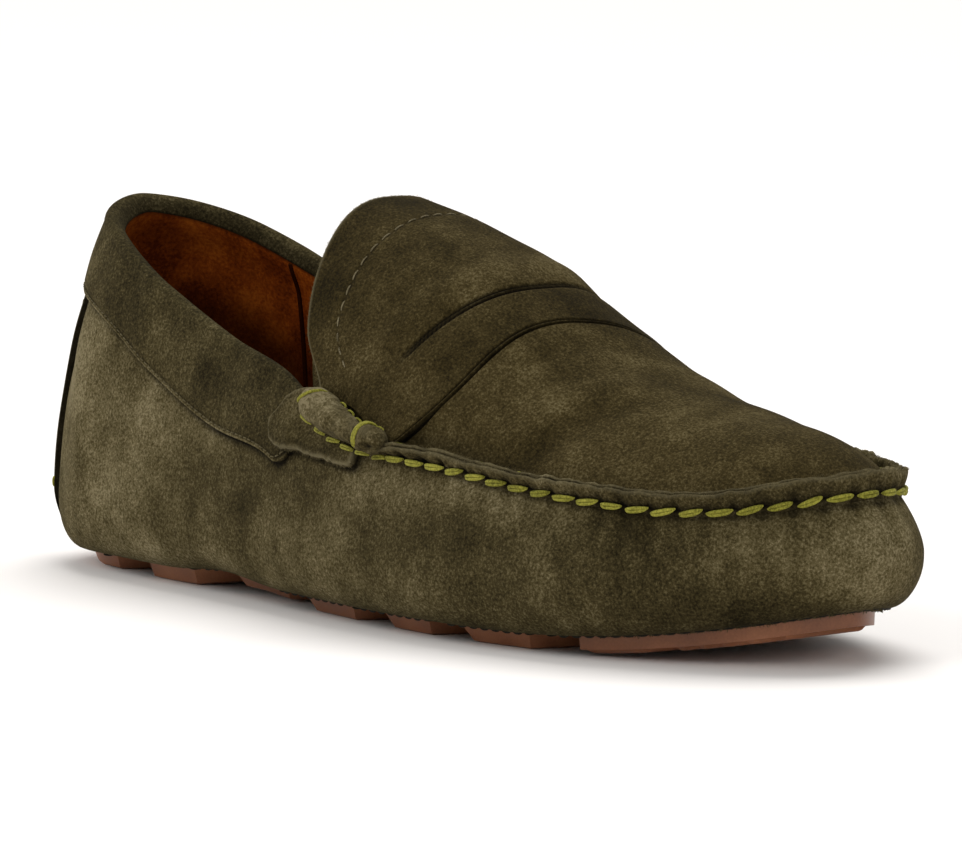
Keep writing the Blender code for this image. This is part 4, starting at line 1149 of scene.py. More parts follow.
def buildRidge():
    steps, sides = seamSides(ridge["sections"])
    place = seamFrame(steps, sides)
    arc = seamArc(np.where(sides < 0, steps, 2 * wall["foreSteps"] - steps))
    beat = np.abs(np.cos(np.pi * arc / stitchPitch)) ** 4
    far = np.minimum(arc, arc[-1] - arc)
    rough = softNoise(place["rim"], 4.0, 13)
    fine = softNoise(place["rim"], 1.7, 16)
    pleat = 1 + 1.2 * bell(far - 18.0, 22.0)
    split = 0.25 + bell(far - 42.0, 30.0) + 0.6 * bell(far - 100.0, 12.0)
    split = np.clip(split + 0.3 * softNoise(place["rim"], 14.0, 18), 0.1, 1)
    grid = []
    dark = []
    pale = []
    tone = []
    for across, height, push, shade in ridgeProfile:
        ply = 0.03 * softNoise(place["rim"] + across, 7.0, 14)
        tall = (0.96 + 0.03 * rough + 0.012 * fine + ply) * ridgeTall(far)
        flank = (abs(across) > 0.9) * bell(height - 0.5, 0.3)
        crimp = push * (0.7 + 0.6 * beat) + (ridge["wave"] * beat * pleat + 0.2 * fine) * flank
        level = height + (1 - split) * (0.95 - height) if across == 0.0 else height
        grid.append(ridgePoint(place, across, level, crimp, tall))
        # painted shade from the profile and in the pleats, and a little on the flanks
        shadeHere = shade * split if abs(across) < 0.3 else shade
        dips = ridgeShade["pleats"] * pleat * beat * flank
        dark.append(np.clip(shadeHere * (0.55 + 0.6 * beat) + dips, 0, 1))
        pale.append(np.full(len(arc), ridgeShade["rawTop"] * bell(height - 0.99, 0.05) * (across != 0.0)))
        tone.append(ridgeShade["flank"] * bell(height - 0.5, 0.3) + ridgeShade["mottling"] * rough)
    grid.append(place["rim"] + place["corner"] * wall["gap"])
    dark.append(np.ones(len(arc)))
    pale.append(np.zeros(len(arc)))
    tone.append(np.zeros(len(arc)))
    grid = np.array(grid)
    rows, columns = grid.shape[:2]
    faces = [quad[::-1] for quad in gridFaces(rows, columns)]
    lastRow = (rows - 1) * columns
    for j in range(columns - 1):
        faces.append([j + 1, lastRow + j + 1, lastRow + j, j])
    faces.append([i * columns for i in range(rows)])
    faces.append([i * columns + columns - 1 for i in range(rows)][::-1])
    marks = {"dark": np.array(dark).ravel(), "pale": np.array(pale).ravel(), "tone": np.array(tone).ravel()}
    return addPiece("seamRidge", grid.reshape(-1, 3), faces, [suede], "suede", None, marks, ["moc_seam"], 70)


buildRidge()

# lime stitches at both feet of the ridge
limeStitch = {"long": 0.9 * stitchPitch, "rise": 0.5, "radius": 0.44, "apart": 0.42, "slope": 0.14,
              "thread": 0.44, "taper": 0.7, "steps": 15, "sides": 8, "height": 0.22, "push": -0.1}


def twinStitches(centre, along, out, look, seed):
    # two strands for each stitch, bowed out of the leather, with their ends sunk in it
    dice = np.random.default_rng(seed)
    u = np.linspace(-1, 1, look["steps"])
    across = np.cross(out, along)
    reach = 0.5 * look["long"] * dice.uniform(0.93, 1.07, len(centre))
    lean = look["slope"] + dice.uniform(-0.1, 0.1, len(centre))
    bow = (look["rise"] + look["radius"]) * (1 - np.abs(u) ** 4) - 0.9 * look["radius"]
    paths = []
    for strand in (-1, 1):
        twist = np.pi * 0.5 * strand + 0.35 * u
        path = centre[:, None] + along[:, None] * (reach[:, None] * u)[..., None]
        path = path + across[:, None] * (lean[:, None] * reach[:, None] * u)[..., None]
        path = path + out[:, None] * (bow + 0.25 * look["apart"] * np.cos(twist))[None, :, None]
        close = look["apart"] * np.sin(twist) * (1 - 0.8 * np.abs(u) ** 3)
        paths.append(path + across[:, None] * close[None, :, None])
    radii = look["thread"] * (1 - look["taper"] * np.abs(u) ** 4)
    return tubes(np.concatenate(paths), radii, np.tile(out, (2, 1))[:, None], look["sides"])


def limeRow(across, seed):
    arcs = (np.arange(stitchCount) + 0.5) * stitchPitch
    pick = np.searchsorted(fineKey, np.interp(arcs, fineArc, fineKey))
    place = seamFrame(fineSteps, fineSides)
    near = np.exp(-np.minimum(fineArc, fineArc[-1] - fineArc) / 60.0)  # the rolls turn the stitches up
    spot = ridgePoint(place, across, limeStitch["height"], limeStitch["push"] - 0.3 * near)
    face = unit(ridgePoint(place, across, 0.6, 0.0) - spot)
    out = -across * unit(np.cross(place["along"], face))
    out = unit(out + np.column_stack([0 * near, 0 * near, 0.6 * near]))
    return twinStitches(spot[pick], place["along"][pick], out[pick], limeStitch, seed)


addPiece("seamStitches", *merge([limeRow(-1.0, 21), limeRow(1.0, 22)]), [limeThread], "suede")

# rolls with their wraps
rollTable = (  # x and radius along the roll
    (134.6, 1.6), (135.2, 3.0), (136.1, 3.7), (139.6, 4.35), (145.3, 4.1), (151.0, 3.5),
    (155.7, 2.9), (158.3, 2.7), (159.5, 3.3), (161.0, 3.55), (162.6, 3.4), (164.1, 3.1),
    (165.3, 2.6), (166.2, 1.8), (166.6, 1.0), (166.7, 0.4),
)
roll = {"out": 3.5, "up": 3.9, "rearUp": 0.9, "sections": 140, "sides": 40, "groove": 158.2, "slitX": 164.3,
        "slitTurn": -0.5, "slitDepth": 0.5, "pleats": 0.16, "roughness": 0.06}
# painted shade in the groove and the slit; top and rear are painted light, lighter on top and at the rear
# end; raw and mottling are the suede's own paler tone
rollShade = {"groove": 0.8, "slit": 0.95, "raw": 0.12, "rear": 0.2, "top": 0.12, "mottling": 0.08}


def rollCentre(x, side):
    t = knotAt(x, side)
    normal = outline(t)[1]
    lift = roll["up"] + roll["rearUp"] * smoothStep(-np.asarray(x), -158.0, -140.0)
    return wallPoint(t, 1.0) + np.concatenate([roll["out"] * normal, lift[..., None]], axis=-1)


def rollFrame(x, side):
    centre = rollCentre(x, side)
    along = unit(rollCentre(x + 1, side) - centre)
    normal = outline(knotAt(x, side))[1]
    out = unit(squareTo(np.concatenate([normal, np.zeros(normal.shape[:-1] + (1,))], axis=-1), along))
    return centre, along, out, np.cross(along, out) * (-1 if side < 0 else 1)


def rollRadius(x):
    return readTable(x, rollTable)


def buildRoll(name, side, node):
    x = np.linspace(rollTable[0][0], rollTable[-1][0], roll["sections"])
    centre, _, out, up = rollFrame(x, side)
    turn = 2 * np.pi * np.arange(roll["sides"]) / roll["sides"]
    ring = out[:, None] * np.cos(turn)[:, None] + up[:, None] * np.sin(turn)[:, None]
    grid = centre[:, None] + ring * rollRadius(x)[:, None, None]
    pleat = roll["pleats"] * softNoise(grid * np.array([0.35, 1.0, 1.0]), 3.2, 15)
    pleat += roll["roughness"] * softNoise(grid, 1.4, 20)
    angle = np.where(turn > np.pi, turn - 2 * np.pi, turn)
    slot = bell(x - roll["slitX"], 1.0)[:, None] * bell(angle - roll["slitTurn"], 0.22)[None, :]
    grid = grid + ring * (pleat - roll["slitDepth"] * slot)[..., None]
    # painted shade in the groove and the slit
    dark = rollShade["groove"] * bell(x - roll["groove"], 0.7)[:, None] + rollShade["slit"] * slot
    pale = rollShade["raw"] + rollShade["mottling"] * softNoise(grid, 5.0, 24)
    # painted light, lighter at the rear end and on top
    tone = rollShade["rear"] * (1 - smoothStep(x, 141.0, 157.0))[:, None] + rollShade["top"] * np.sin(turn)
    tone += rollShade["mottling"] * softNoise(grid, 3.0, 25)
    rows, columns = grid.shape[:2]
    faces = gridFaces(rows, columns, wrap=True)
    faces.append(list(range(columns))[::-1])
    faces.append(list(range((rows - 1) * columns, rows * columns)))
    if side > 0:
        faces = [face[::-1] for face in faces]
    marks = {"dark": np.clip(dark, 0, 1).ravel(), "pale": np.clip(pale, 0, 1).ravel(), "tone": tone.ravel()}
    return addPiece(name, grid.reshape(-1, 3), faces, [suede], "suede", None, marks, [node], 70)


wraps = (  # x at the start, run along the roll, thread radius, first and last angle
    (135.4, 5.5, 0.42, -0.1, 1.75),
    (159.8, 0.0, 0.46, -0.7, 3.3),
    (160.5, 0.3, 0.36, -0.5, 3.0),
)
lowTacks = (  # x, drop below the rim, distance out of the wall
    (133.5, 1.7, 3.4), (139.6, 1.9, 2.9), (145.7, 1.9, 2.8),
    (151.8, 1.7, 2.8), (157.9, 1.3, 2.6), (163.6, 1.0, 1.9),
)
lowTack = {"long": 5.0, "rise": 0.35, "radius": 0.36, "apart": 0.32, "slope": 0.1, "thread": 0.34,
           "taper": 0.0, "steps": 9, "sides": 8}
highTacks = (146.0, 150.0, 154.0, 163.2)  # x along the inner edge of the roll
highTack = {"long": 1.8, "rise": 0.3, "radius": 0.27, "apart": 0.2, "slope": 0.4, "thread": 0.25,
            "taper": 0.0, "steps": 7, "sides": 6}


def buildWraps(name, side):
    parts = []
    for x, run, radius, start, end in wraps:
        angle = np.linspace(start, end, 36)
        at = x + run * (angle - start) / (end - start)
        centre, along, out, up = rollFrame(at, side)
        around = (rollRadius(at) + 0.2)[:, None]
        path = centre + around * (out * np.cos(angle)[:, None] + up * np.sin(angle)[:, None])
        sink = np.clip(np.minimum(angle - start, end - angle) / 0.25, 0.3, 1)
        parts.append(tubes(path[None], radius * sink[None], along[None], 8))
    # stitches below the roll, then short ones along its inner edge
    low, drop, lift = np.array(lowTacks).T
    t = knotAt(low, side)
    share = shareBelowRim(low, drop)
    spot = wallPoint(t, share, lift)
    face = unit(wallPoint(t, share, lift + 1.0) - spot)
    along = unit(wallPoint(knotAt(low + 1.0, side), share, lift) - spot)
    parts.append(twinStitches(spot, along, face, lowTack, 31))
    high = np.array(highTacks)
    centre, along, out, up = rollFrame(high, side)
    face = unit(up - 0.75 * out)
    spot = centre + face * (rollRadius(high) - 0.05)[:, None]
    parts.append(twinStitches(spot, along, face, highTack, 32))
    return addPiece(name, *merge(parts), [limeThread], "suede")


for side, word in ((-1, "Lateral"), (1, "Medial")):
    buildRoll("roll" + word, side, "roll_" + word.lower())
    buildWraps("rollWraps" + word, side)


def buildFlap(name, side, node):
    x = np.linspace(flapTable[0][0], flapTable[-1][0], flap["columns"])
    ragged = flap["ragged"] * softNoise(x[:, None] * np.ones(3), 2.4, 17 + side)
    top = readStraight(x, flapTable, 1)
    low = readStraight(x, flapTable, 2) + ragged
    out = readStraight(x, flapTable, 3)
    down = np.linspace(0, 1, flap["rows"])[:, None]
    level = top + (low - top) * down
    share = shareBelowRim(x, level)
    t = np.broadcast_to(knotAt(x, side), level.shape)
    ends = np.minimum(x - x[0], x[-1] - x)
    toLow = (1 - down) * (low - top)
    toTop = down * (low - top) + 3.0 * (x > 133)
    edge = np.minimum(np.minimum(toLow, toTop), ends + 0.2)
    thick = flap["thick"] * (0.5 + 0.5 * np.sqrt(1 - (1 - np.clip(edge / flap["rim"], 0, 1)) ** 2))
    curl = flap["curl"] * smoothStep(-toLow, -5.0, 0.0)
    base = wallPoint(t, share, out + 0 * level)
    outside = wallPoint(t, share, out + thick + curl + 0.1 * softNoise(base, 5.0, 19))
    inside = wallPoint(t, share, out + 0.6 * curl)
    rawEdges.append((outside[-1], unit(outside[-1] - outside[-8]), *flapHairs[0]))
    rawEdges.append((outside[:, 0], unit(outside[:, 0] - outside[:, 4]), *flapHairs[1]))
    faces = shellFaces(*level.shape)[0]
    if side > 0:
        faces = [face[::-1] for face in faces]
    # pale cut edge and a darker line inside it; painted shade under the roll and on the back
    pale = flap["rawEdge"] * bell(edge, 0.7)
    dark = flap["edgeLine"] * bell(edge - 1.7, 0.6)
    dark += flap["shadeUnderRoll"] * bell(toTop - 3.0, 1.0) * (x > 131)
    points = bothSides(outside, inside)
    marks = {"dark": bothSides(dark, np.full_like(dark, flap["inside"])), "pale": bothSides(pale, 0 * pale),
             "tone": np.full(len(points), flap["tone"])}
    return addPiece(name, points, faces, [suede], "suede", None, marks, [node])


buildFlap("flapLateral", -1, "flap_lateral")
buildFlap("flapMedial", 1, "flap_medial")

# strip over the heel seam
strip = {"halfWidth": 24.0, "thick": 1.2, "foot": 0.1, "bottom": 18.0, "under": -0.55, "sewnIn": 2.2,
         "sewnDepth": 0.25, "uneven": 0.12, "columns": 80, "rows": 60, "reach": 0.15, "blackEdge": 0.95,
         "tone": 0.16}


def heelKnots(offsets):
    t = np.linspace(-strip["reach"], strip["reach"], 121) * toeKnot
    arc = arcLength(outline(t)[0])
    return np.interp(-offsets, arc - arc[60], t)


def stripSwell(climb):
    # the strip thins out towards its lower end
    return strip["foot"] + (1 - strip["foot"]) * smoothStep(climb, 0.0, 0.5)


def skinPoint(t, share, out):
    # like wallPoint, and on round the tuck for shares below 0
    point, normal = outline(t)
    bottom = insetRing(t, tuck)
    low = tread(bottom[..., 0]) + sole["lugHeight"]
    angle = 0.5 * np.pi * (1 + np.clip(share, -1, 0))
    plan = bottom + (point - bottom) * np.sin(angle)[..., None] + normal * (out * np.sin(angle))[..., None]
    height = low + (widest(point[..., 0]) - low) * (1 - np.cos(angle)) - out * np.cos(angle)
    tucked = np.concatenate([plan, height[..., None]], axis=-1)
    return np.where((share < 0)[..., None], tucked, wallPoint(t, np.clip(share, 0, None), out))


def buildStrip():
    offset = np.linspace(-strip["halfWidth"], strip["halfWidth"], strip["columns"])
    t = heelKnots(offset)
    x = outline(t)[0][:, 0]
    rise = rimHeight(x) - widest(x)
    top = 1 - (collarDrop(x) + 2 * wall["gap"]) / rise
    climb = np.linspace(0, 1, strip["rows"])[:, None]
    share = strip["under"] + (top - strip["under"]) * climb
    tt = np.broadcast_to(t, share.shape)
    edge = strip["halfWidth"] - np.abs(offset)[None, :] + 0 * share
    thick = strip["thick"] * (0.7 + 0.3 * np.sqrt(1 - (1 - np.clip(edge / 0.8, 0, 1)) ** 2))
    uneven = strip["uneven"] * softNoise(skinPoint(tt, share, 0 * share), 16.0, 23)
    sewn = strip["sewnDepth"] * bell(edge - strip["sewnIn"], 0.5)
    thick = thick * stripSwell(climb) - (sewn - uneven) * climb
    outside = skinPoint(tt, share, wall["gap"] + thick)
    inside = skinPoint(tt, share, 0.5 * wall["gap"] + 0 * share)
    faces = [face[::-1] for face in shellFaces(*share.shape)[0]]
    dark = 0.9 * bell(edge, strip["blackEdge"])
    points = bothSides(outside, inside)
    marks = {"dark": bothSides(dark, dark), "tone": np.full(len(points), strip["tone"])}
    return addPiece("backStrip", points, faces, [suede], "suede", None, marks, ["back_strip"])


buildStrip()
print("overlays built")

# tread: oblique bands of lugs; front and rear are lines x = at + slant * y, a groove is the y of its ends
bands = (
    {"front": (254.5, 0.42), "rear": (240.0, 0.49), "grooves": ((4.0, 11.5), (-8.0, -13.0))},
    {"front": (229.0, 0.50), "rear": (207.5, 0.56), "grooves": ((12.5, 19.4), (-1.3, 2.3), (-18.4, -17.3))},
    {"front": (200.0, 0.59), "rear": (181.0, 0.65), "grooves": ((18.7, 19.7), (-4.3, -4.1), (-25.7, -21.9))},
    {"front": (169.5, 0.66), "rear": (146.5, 0.75), "grooves": ((15.4, 13.0), (-5.9, -3.3), (-22.4, -17.4))},
)
toeRibs = {"first": 259.0, "pitch": 4.0, "count": 5, "width": 2.5, "slant": 0.42, "height": 1.0,
           "endShare": 0.42}
waistLugs = (
    ((154.0, 27.0), (146.0, 14.5), (137.5, 22.5)),
    ((142.0, 9.0), (134.0, 0.5), (117.5, 19.5), (126.0, 21.0)),
    ((130.0, -5.5), (121.5, -15.0), (101.0, 8.5), (105.5, 15.0)),
    ((116.0, -19.0), (108.5, -30.0), (82.5, -27.5), (102.5, -7.5)),
)
heelPair = {"corners": ((99.5, 0.0), (70.0, -28.0), (44.0, -26.0), (88.5, 13.0)), "split": (0.52, 0.36)}
dot = {"centre": (98.0, 18.5), "radius": 2.8, "sides": 24}
heelTriangle = ((83.5, 21.5), (62.0, 2.2), (45.0, 22.0))
heelPadFront = ((59.5, 0.5), (32.0, -25.0))
heelPadInner = 41.5
heelRibs = {"slant": 0.36, "pitch": 3.5, "valley": 0.7, "flank": 0.45, "depth": 0.9, "step": 1.6}
heelPlate = {"corners": ((52.4, 1.0), (32.2, -16.3), (25.5, -8.4), (45.7, 8.9)), "groove": 0.9, "depth": 0.9}


def area(points):
    x = points[:, 0]
    y = points[:, 1]
    return 0.5 * np.sum(x * np.roll(y, -1) - y * np.roll(x, -1))


def insetPolygon(polygon, distance):
    points = np.asarray(polygon, dtype=float)
    if area(points) < 0:
        points = points[::-1]
    before = unit(points - np.roll(points, 1, axis=0))
    after = np.roll(before, -1, axis=0)
    left = np.column_stack([-before[:, 1], before[:, 0]])
    right = np.column_stack([-after[:, 1], after[:, 0]])
    return points + (left + right) * distance / (1 + np.sum(left * right, axis=1, keepdims=True))


def within(polygon, points):
    a = np.asarray(polygon)
    b = np.roll(a, -1, axis=0)
    points = np.atleast_2d(points)
    py = points[:, 1:2]
    crossing = (a[:, 1] > py) != (b[:, 1] > py)
    rise = np.where(b[:, 1] == a[:, 1], 1.0, b[:, 1] - a[:, 1])
    x = a[:, 0] + (py - a[:, 1]) * (b[:, 0] - a[:, 0]) / rise
    return np.count_nonzero(crossing & (x > points[:, :1]), axis=1) % 2 == 1


def divided(polygon, longest):
    result = []
    for a, b in zip(polygon, np.roll(polygon, -1, axis=0)):
        count = max(1, int(np.ceil(np.linalg.norm(b - a) / longest)))
        result += [a + (b - a) * k / count for k in range(count)]
    return np.array(result)


def narrowest(polygon):
    widths = []
    for a, b in zip(polygon, np.roll(polygon, -1, axis=0)):
        across = np.array([a[1] - b[1], b[0] - a[0]]) / np.linalg.norm(b - a)
        reach = (polygon - a) @ across
        widths.append(reach.max() - reach.min())
    return min(widths)


def rubberArc(start, end, count):
    return insetRing(np.linspace(start, end, count), rubberEdge)


rubberLoop = rubberArc(0, lapKnot, 400)[:-1]


def onLine(line, y):
    return np.array([line[0] + line[1] * y, y])


def lineEnd(line, side):
    low = 0.0
    high = last["ballWidth"]
    while high - low > 1e-9:
        middle = 0.5 * (low + high)
        if within(rubberLoop, onLine(line, side * middle))[0]:
            low = middle
        else:
            high = middle
    return onLine(line, side * low)


def bandLugs(band):
    front = [lineEnd(band["front"], 1)] + [onLine(band["front"], y) for y, _ in band["grooves"]]
    rear = [lineEnd(band["rear"], 1)] + [onLine(band["rear"], y) for _, y in band["grooves"]]
    front.append(lineEnd(band["front"], -1))
    rear.append(lineEnd(band["rear"], -1))
    return [np.array([front[k], front[k + 1], rear[k + 1], rear[k]]) for k in range(len(front) - 1)]


def bandWindow(band):
    corners = (("front", 1), ("front", -1), ("rear", -1), ("rear", 1))
    return np.array([lineEnd(band[edge], side) for edge, side in corners])


def toeWindow():
    outer = lineEnd(bands[0]["rear"], -1)
    inner = lineEnd(bands[0]["rear"], 1)
    at, slant = bands[0]["rear"]
    arc = rubberArc(knotAt(outer[0], -1), knotAt(inner[0], 1), 41)
    arc = arc[arc[:, 0] - slant * arc[:, 1] > at + 2.0]
    return np.vstack([outer, arc, inner])


def toeRibLugs(clear):
    half = 0.5 * toeRibs["width"]
    lugs = []
    for k in range(toeRibs["count"]):
        at = toeRibs["first"] + toeRibs["pitch"] * k
        rear = (at - half, toeRibs["slant"])
        front = (at + half, toeRibs["slant"])
        short = clear / toeRibs["endShare"]
        left, right = (side * (abs(lineEnd(front, side)[1]) - short) for side in (1, -1))
        corners = ((rear, left), (rear, right), (front, right), (front, left))
        lugs.append(np.array([onLine(line, y) for line, y in corners]))
    return lugs


def heelWindow():
    arc = rubberArc(knotAt(heelPadFront[1][0], -1), knotAt(heelPadInner, 1) - lapKnot, 31)
    return np.vstack([heelTriangle[0], heelTriangle[1], arc])


def treadBlocks():
    # windows in the suede, each with the lugs that stand in it
    blocks = [(toeWindow(), bandLugs(bands[0]))]
    blocks += [(bandWindow(band), bandLugs(band)) for band in bands[1:]]
    blocks += [(np.array(corners), [np.array(corners)]) for corners in waistLugs]
    a, b, c, d = (np.array(corner) for corner in heelPair["corners"])
    front, rear = heelPair["split"]
    cut = (a + (b - a) * front, d + (c - d) * (1 - rear))
    pair = [np.array([a, cut[0], cut[1], d]), np.array([cut[0], b, c, cut[1]])]
    blocks.append((np.array([a, b, c, d]), pair))
    turn = 2 * np.pi * np.arange(dot["sides"]) / dot["sides"]
    circle = np.array(dot["centre"]) + dot["radius"] * np.column_stack([np.cos(turn), np.sin(turn)])
    blocks.append((circle, [circle]))
    heel = heelWindow()
    blocks.append((heel, [np.array(heelTriangle), np.vstack([heelPadFront[0], heel[2:]])]))
    return blocks


def fillLoops(loops, keep, loose=None):
    # triangles between closed loops, with loose points in between
    points = np.vstack(loops)
    edges = []
    start = 0
    for loop in loops:
        edges += [(start + i, start + (i + 1) % len(loop)) for i in range(len(loop))]
        start += len(loop)
    if loose is not None and len(loose):
        points = np.vstack([points, loose])
    result = delaunay_2d_cdt([Vector(p) for p in points], edges, [], 0, 1e-7)
    if len(result[0]) != len(points):
        raise ValueError("tread lines cross near %s" % result[0][len(points)])
    triangles = np.array([list(face) for face in result[2]])
    corners = points[triangles]
    sign = np.cross(corners[:, 1] - corners[:, 0], corners[:, 2] - corners[:, 0])
    triangles[sign < 0] = triangles[sign < 0][:, ::-1]
    return points, triangles[keep(corners.mean(axis=1))]


def scatter(box, step, keep):
    x, y = np.meshgrid(np.arange(box[0], box[1], step), np.arange(box[2], box[3], step), indexing="ij")
    points = np.column_stack([x.ravel(), y.ravel()])
    return points[keep(points)]


blocks = treadBlocks()
soleMesh = {"edge": 3.5, "spread": 5.0, "round": 0.4, "windowShade": 0.55}


def buildBottom():
    # suede that wraps under the foot, with its windows
    border = insetRing(wallColumns(), tuck)
    windows = [divided(window, soleMesh["edge"]) for window, _ in blocks]

    def keep(points):
        good = within(border, points)
        for window in windows:
            good &= ~within(window, points)
        return good

    inner = insetRing(wallColumns(), lambda x: tuck(x) + 2.0)
    loose = scatter((-2, 292, -60, 60), soleMesh["spread"], lambda p: keep(p) & within(inner, p))
    flat, triangles = fillLoops([border] + windows, keep, loose)
    count = len(flat)
    outside = np.column_stack([flat, tread(flat[:, 0]) + sole["lugHeight"]])
    inside = outside + np.array([0, 0, wall["suede"]])
    faces = triangles[:, ::-1].tolist() + (triangles + count).tolist()
    start = 0
    for loop in [border] + windows:
        for i in range(len(loop)):
            a = start + i
            b = start + (i + 1) % len(loop)
            faces.append([a, b, count + b, count + a])
        start += len(loop)
    dark = np.zeros(count)
    dark[len(border):start] = soleMesh["windowShade"]
    marks = {"dark": np.concatenate([dark, dark])}
    points = np.vstack([outside, inside])
    return addPiece("upperBottom", points, faces, [suede], "suede", None, marks, ["upper"])


buildBottom()


def ribDepth(points):
    # how far a point of the heel pad lies below the crests of its ribs
    q = np.mod(points[:, 0] - heelRibs["slant"] * points[:, 1], heelRibs["pitch"])
    edge = np.minimum(q - heelRibs["valley"], heelRibs["pitch"] - q)
    return heelRibs["depth"] * (1 - np.clip(edge / heelRibs["flank"], 0, 1))


def ribPoints(polygon):
    pitch = heelRibs["pitch"]
    flank = heelRibs["flank"]
    offsets = (0.0, heelRibs["valley"], heelRibs["valley"] + flank, pitch - flank)
    low = polygon.min(axis=0)
    high = polygon.max(axis=0)
    y = np.arange(low[1], high[1], heelRibs["step"])
    points = []
    for k in range(int((low[0] - 30) // pitch), int((high[0] + 30) // pitch) + 1):
        for offset in offsets:
            points.append(np.column_stack([k * pitch + offset + heelRibs["slant"] * y, y]))
    points = np.vstack(points)
    return points[within(insetPolygon(polygon, 0.35), points)]


def buildOutsole():
    plate = wall["suede"] + wall["gap"]
    height = sole["lugHeight"]
    border = insetRing(wallColumns()[::2], lambda x: tuck(x) + sole["plateEdge"])
    loops = [border]
    depths = [np.full(len(border), plate)]
    tops = []
    loose = []
    looseDepth = []

    def add(loop, depth):
        loop = divided(loop, soleMesh["edge"])
        loops.append(loop)
        depths.append(np.broadcast_to(depth(loop) if callable(depth) else depth, len(loop)))

    for number, (window, lugs) in enumerate(blocks):
        clear = wall["gap"] + wall["suede"] * np.abs(treadSlope(window[:, 0])).max()
        base = insetPolygon(window, clear)
        pad = toeRibs["height"] - height if number == 0 else -sole["shoulder"]
        feet = [insetPolygon(lug, clear + sole["shoulderSlope"] + sole["groove"]) for lug in lugs]
        ribs = toeRibLugs(clear + 2 * sole["shoulderSlope"]) if number == 0 else []
        add(base, plate)
        add(insetPolygon(base, sole["shoulderSlope"]), pad)
        bevel = sole["lugBevel"] * np.sqrt(1 + pad / height)
        for k, foot in enumerate(feet + ribs):
            full = min(bevel, sole["bevelShare"] * narrowest(foot))
            soft = min(soleMesh["round"], 0.3 * full)
            add(foot, pad)
            add(insetPolygon(foot, full - soft), -height + soft)
            top = insetPolygon(foot, full + soft)
            heelPad = number == len(blocks) - 1 and k == 1
            if heelPad:
                add(top, lambda loop: -height + ribDepth(loop))
                frameOut = insetPolygon(heelPlate["corners"], -heelPlate["groove"])
                plateIn = insetPolygon(heelPlate["corners"], 0.25)
                add(frameOut, lambda loop: -height + ribDepth(loop))
                add(insetPolygon(frameOut, 0.2), -height + heelPlate["depth"])
                add(np.array(heelPlate["corners"]), -height + heelPlate["depth"])
                add(plateIn, -height + 0.2)
                extra = ribPoints(top)
                extra = extra[~within(insetPolygon(frameOut, -0.3), extra)]
                loose.append(extra)
                looseDepth.append(-height + ribDepth(extra))
            else:
                add(top, -height)
                if k < len(feet):
                    tops.append(top)
    flat, triangles = fillLoops(loops, lambda p: within(border, p), np.vstack(loose))
    depth = np.concatenate(depths + looseDepth)
    x = flat[:, 0]
    low = np.where(depth > 0, layer(x, depth), tread(x) + height + depth)
    topLoose = scatter((0, 290, -60, 60), 8.0, lambda p: within(insetPolygon(border[::4], 3.0), p))
    highFlat, highTriangles = fillLoops([border], lambda p: within(border, p), topLoose)
    high = layer(highFlat[:, 0], plate + sole["plate"])
    start = len(flat)
    faces = triangles[:, ::-1].tolist() + (highTriangles + start).tolist()
    count = len(border)
    faces += [[i, (i + 1) % count, start + (i + 1) % count, start + i] for i in range(count)]
    centre = flat[triangles].mean(axis=1)
    onTop = np.zeros(len(triangles), dtype=bool)
    for top in tops:
        onTop |= within(top, centre)
    kinds = onTop.astype(int).tolist() + [0] * (len(faces) - len(triangles))
    points = np.vstack([np.column_stack([flat, low]), np.column_stack([highFlat, high])])
    return addPiece("soleUnit", points, faces, [rubber, rubberDots], "rubber", kinds, None, ["outsole"], 32)


buildOutsole()

# footbed
footbed = {"columns": 240, "rows": 7, "crown": 0.5}


def buildInsole():
    low = wall["suede"] + sole["plate"] + 2 * wall["gap"]
    t = np.linspace(0, lapKnot, footbed["columns"], endpoint=False)

    def ring(further):
        return insetRing(t, lambda x: np.full_like(x, sole["footbedEdge"] + further))

    loop = ring(0.0)
    middle = ring(3.0)
    loose = scatter((0, 290, -60, 60), 5.0, lambda p: within(middle, p))
    flat, triangles = fillLoops([loop, ring(0.9)], lambda p: within(loop, p), loose)
    count = len(flat)
    edge = np.zeros(count)
    edge[:len(loop)] = 0.7
    bottom = np.column_stack([flat, layer(flat[:, 0], low)])
    top = np.column_stack([flat, layer(flat[:, 0], low + sole["footbed"]) - edge])
    faces = triangles[:, ::-1].tolist() + (triangles + count).tolist()
    n = len(loop)
    faces += [[i, (i + 1) % n, count + (i + 1) % n, count + i] for i in range(n)]
    marks = {"dark": np.concatenate([edge, edge])}
    points = np.vstack([bottom, top])
    return addPiece("footbedPiece", points, faces, [lining], "lining", None, marks, ["insole"])


buildInsole()
print("sole built")

# thin sewing in the shades of the suede
sewing = {  # distance between stitches, then their length, rise and thread radius
    "collar": (2.0, 1.25, 0.22, 0.17),
    "tongue": (4.2, 2.7, 0.28, 0.2),
    "strip": (3.0, 1.9, 0.25, 0.2),
    "sole": (3.6, 2.6, 0.22, 0.3),
}


def evenly(points, pitch, closed=False):
    # places and directions at equal distances along a line of points
    line = np.vstack([points, points[:1]]) if closed else np.asarray(points)
    arc = arcLength(line)
    count = max(2, int(arc[-1] / pitch))
    at = (np.arange(count) + 0.5) * arc[-1] / count
    along = unit(spread(at + 0.3, arc, line) - spread(at - 0.3, arc, line))
    return spread(at, arc, line), along, at / arc[-1]


def singleStitches(place, along, out, long, rise, radius, steps=7, sides=6):
    u = np.linspace(-1, 1, steps)
    bow = rise * (1 - np.abs(u) ** 2.4) - 0.5 * radius
    paths = place[:, None] + along[:, None] * (0.5 * long * u)[None, :, None]
    paths = paths + out[:, None] * bow[None, :, None]
    return tubes(paths, radius * (1 - 0.4 * np.abs(u) ** 4), out[:, None], sides)


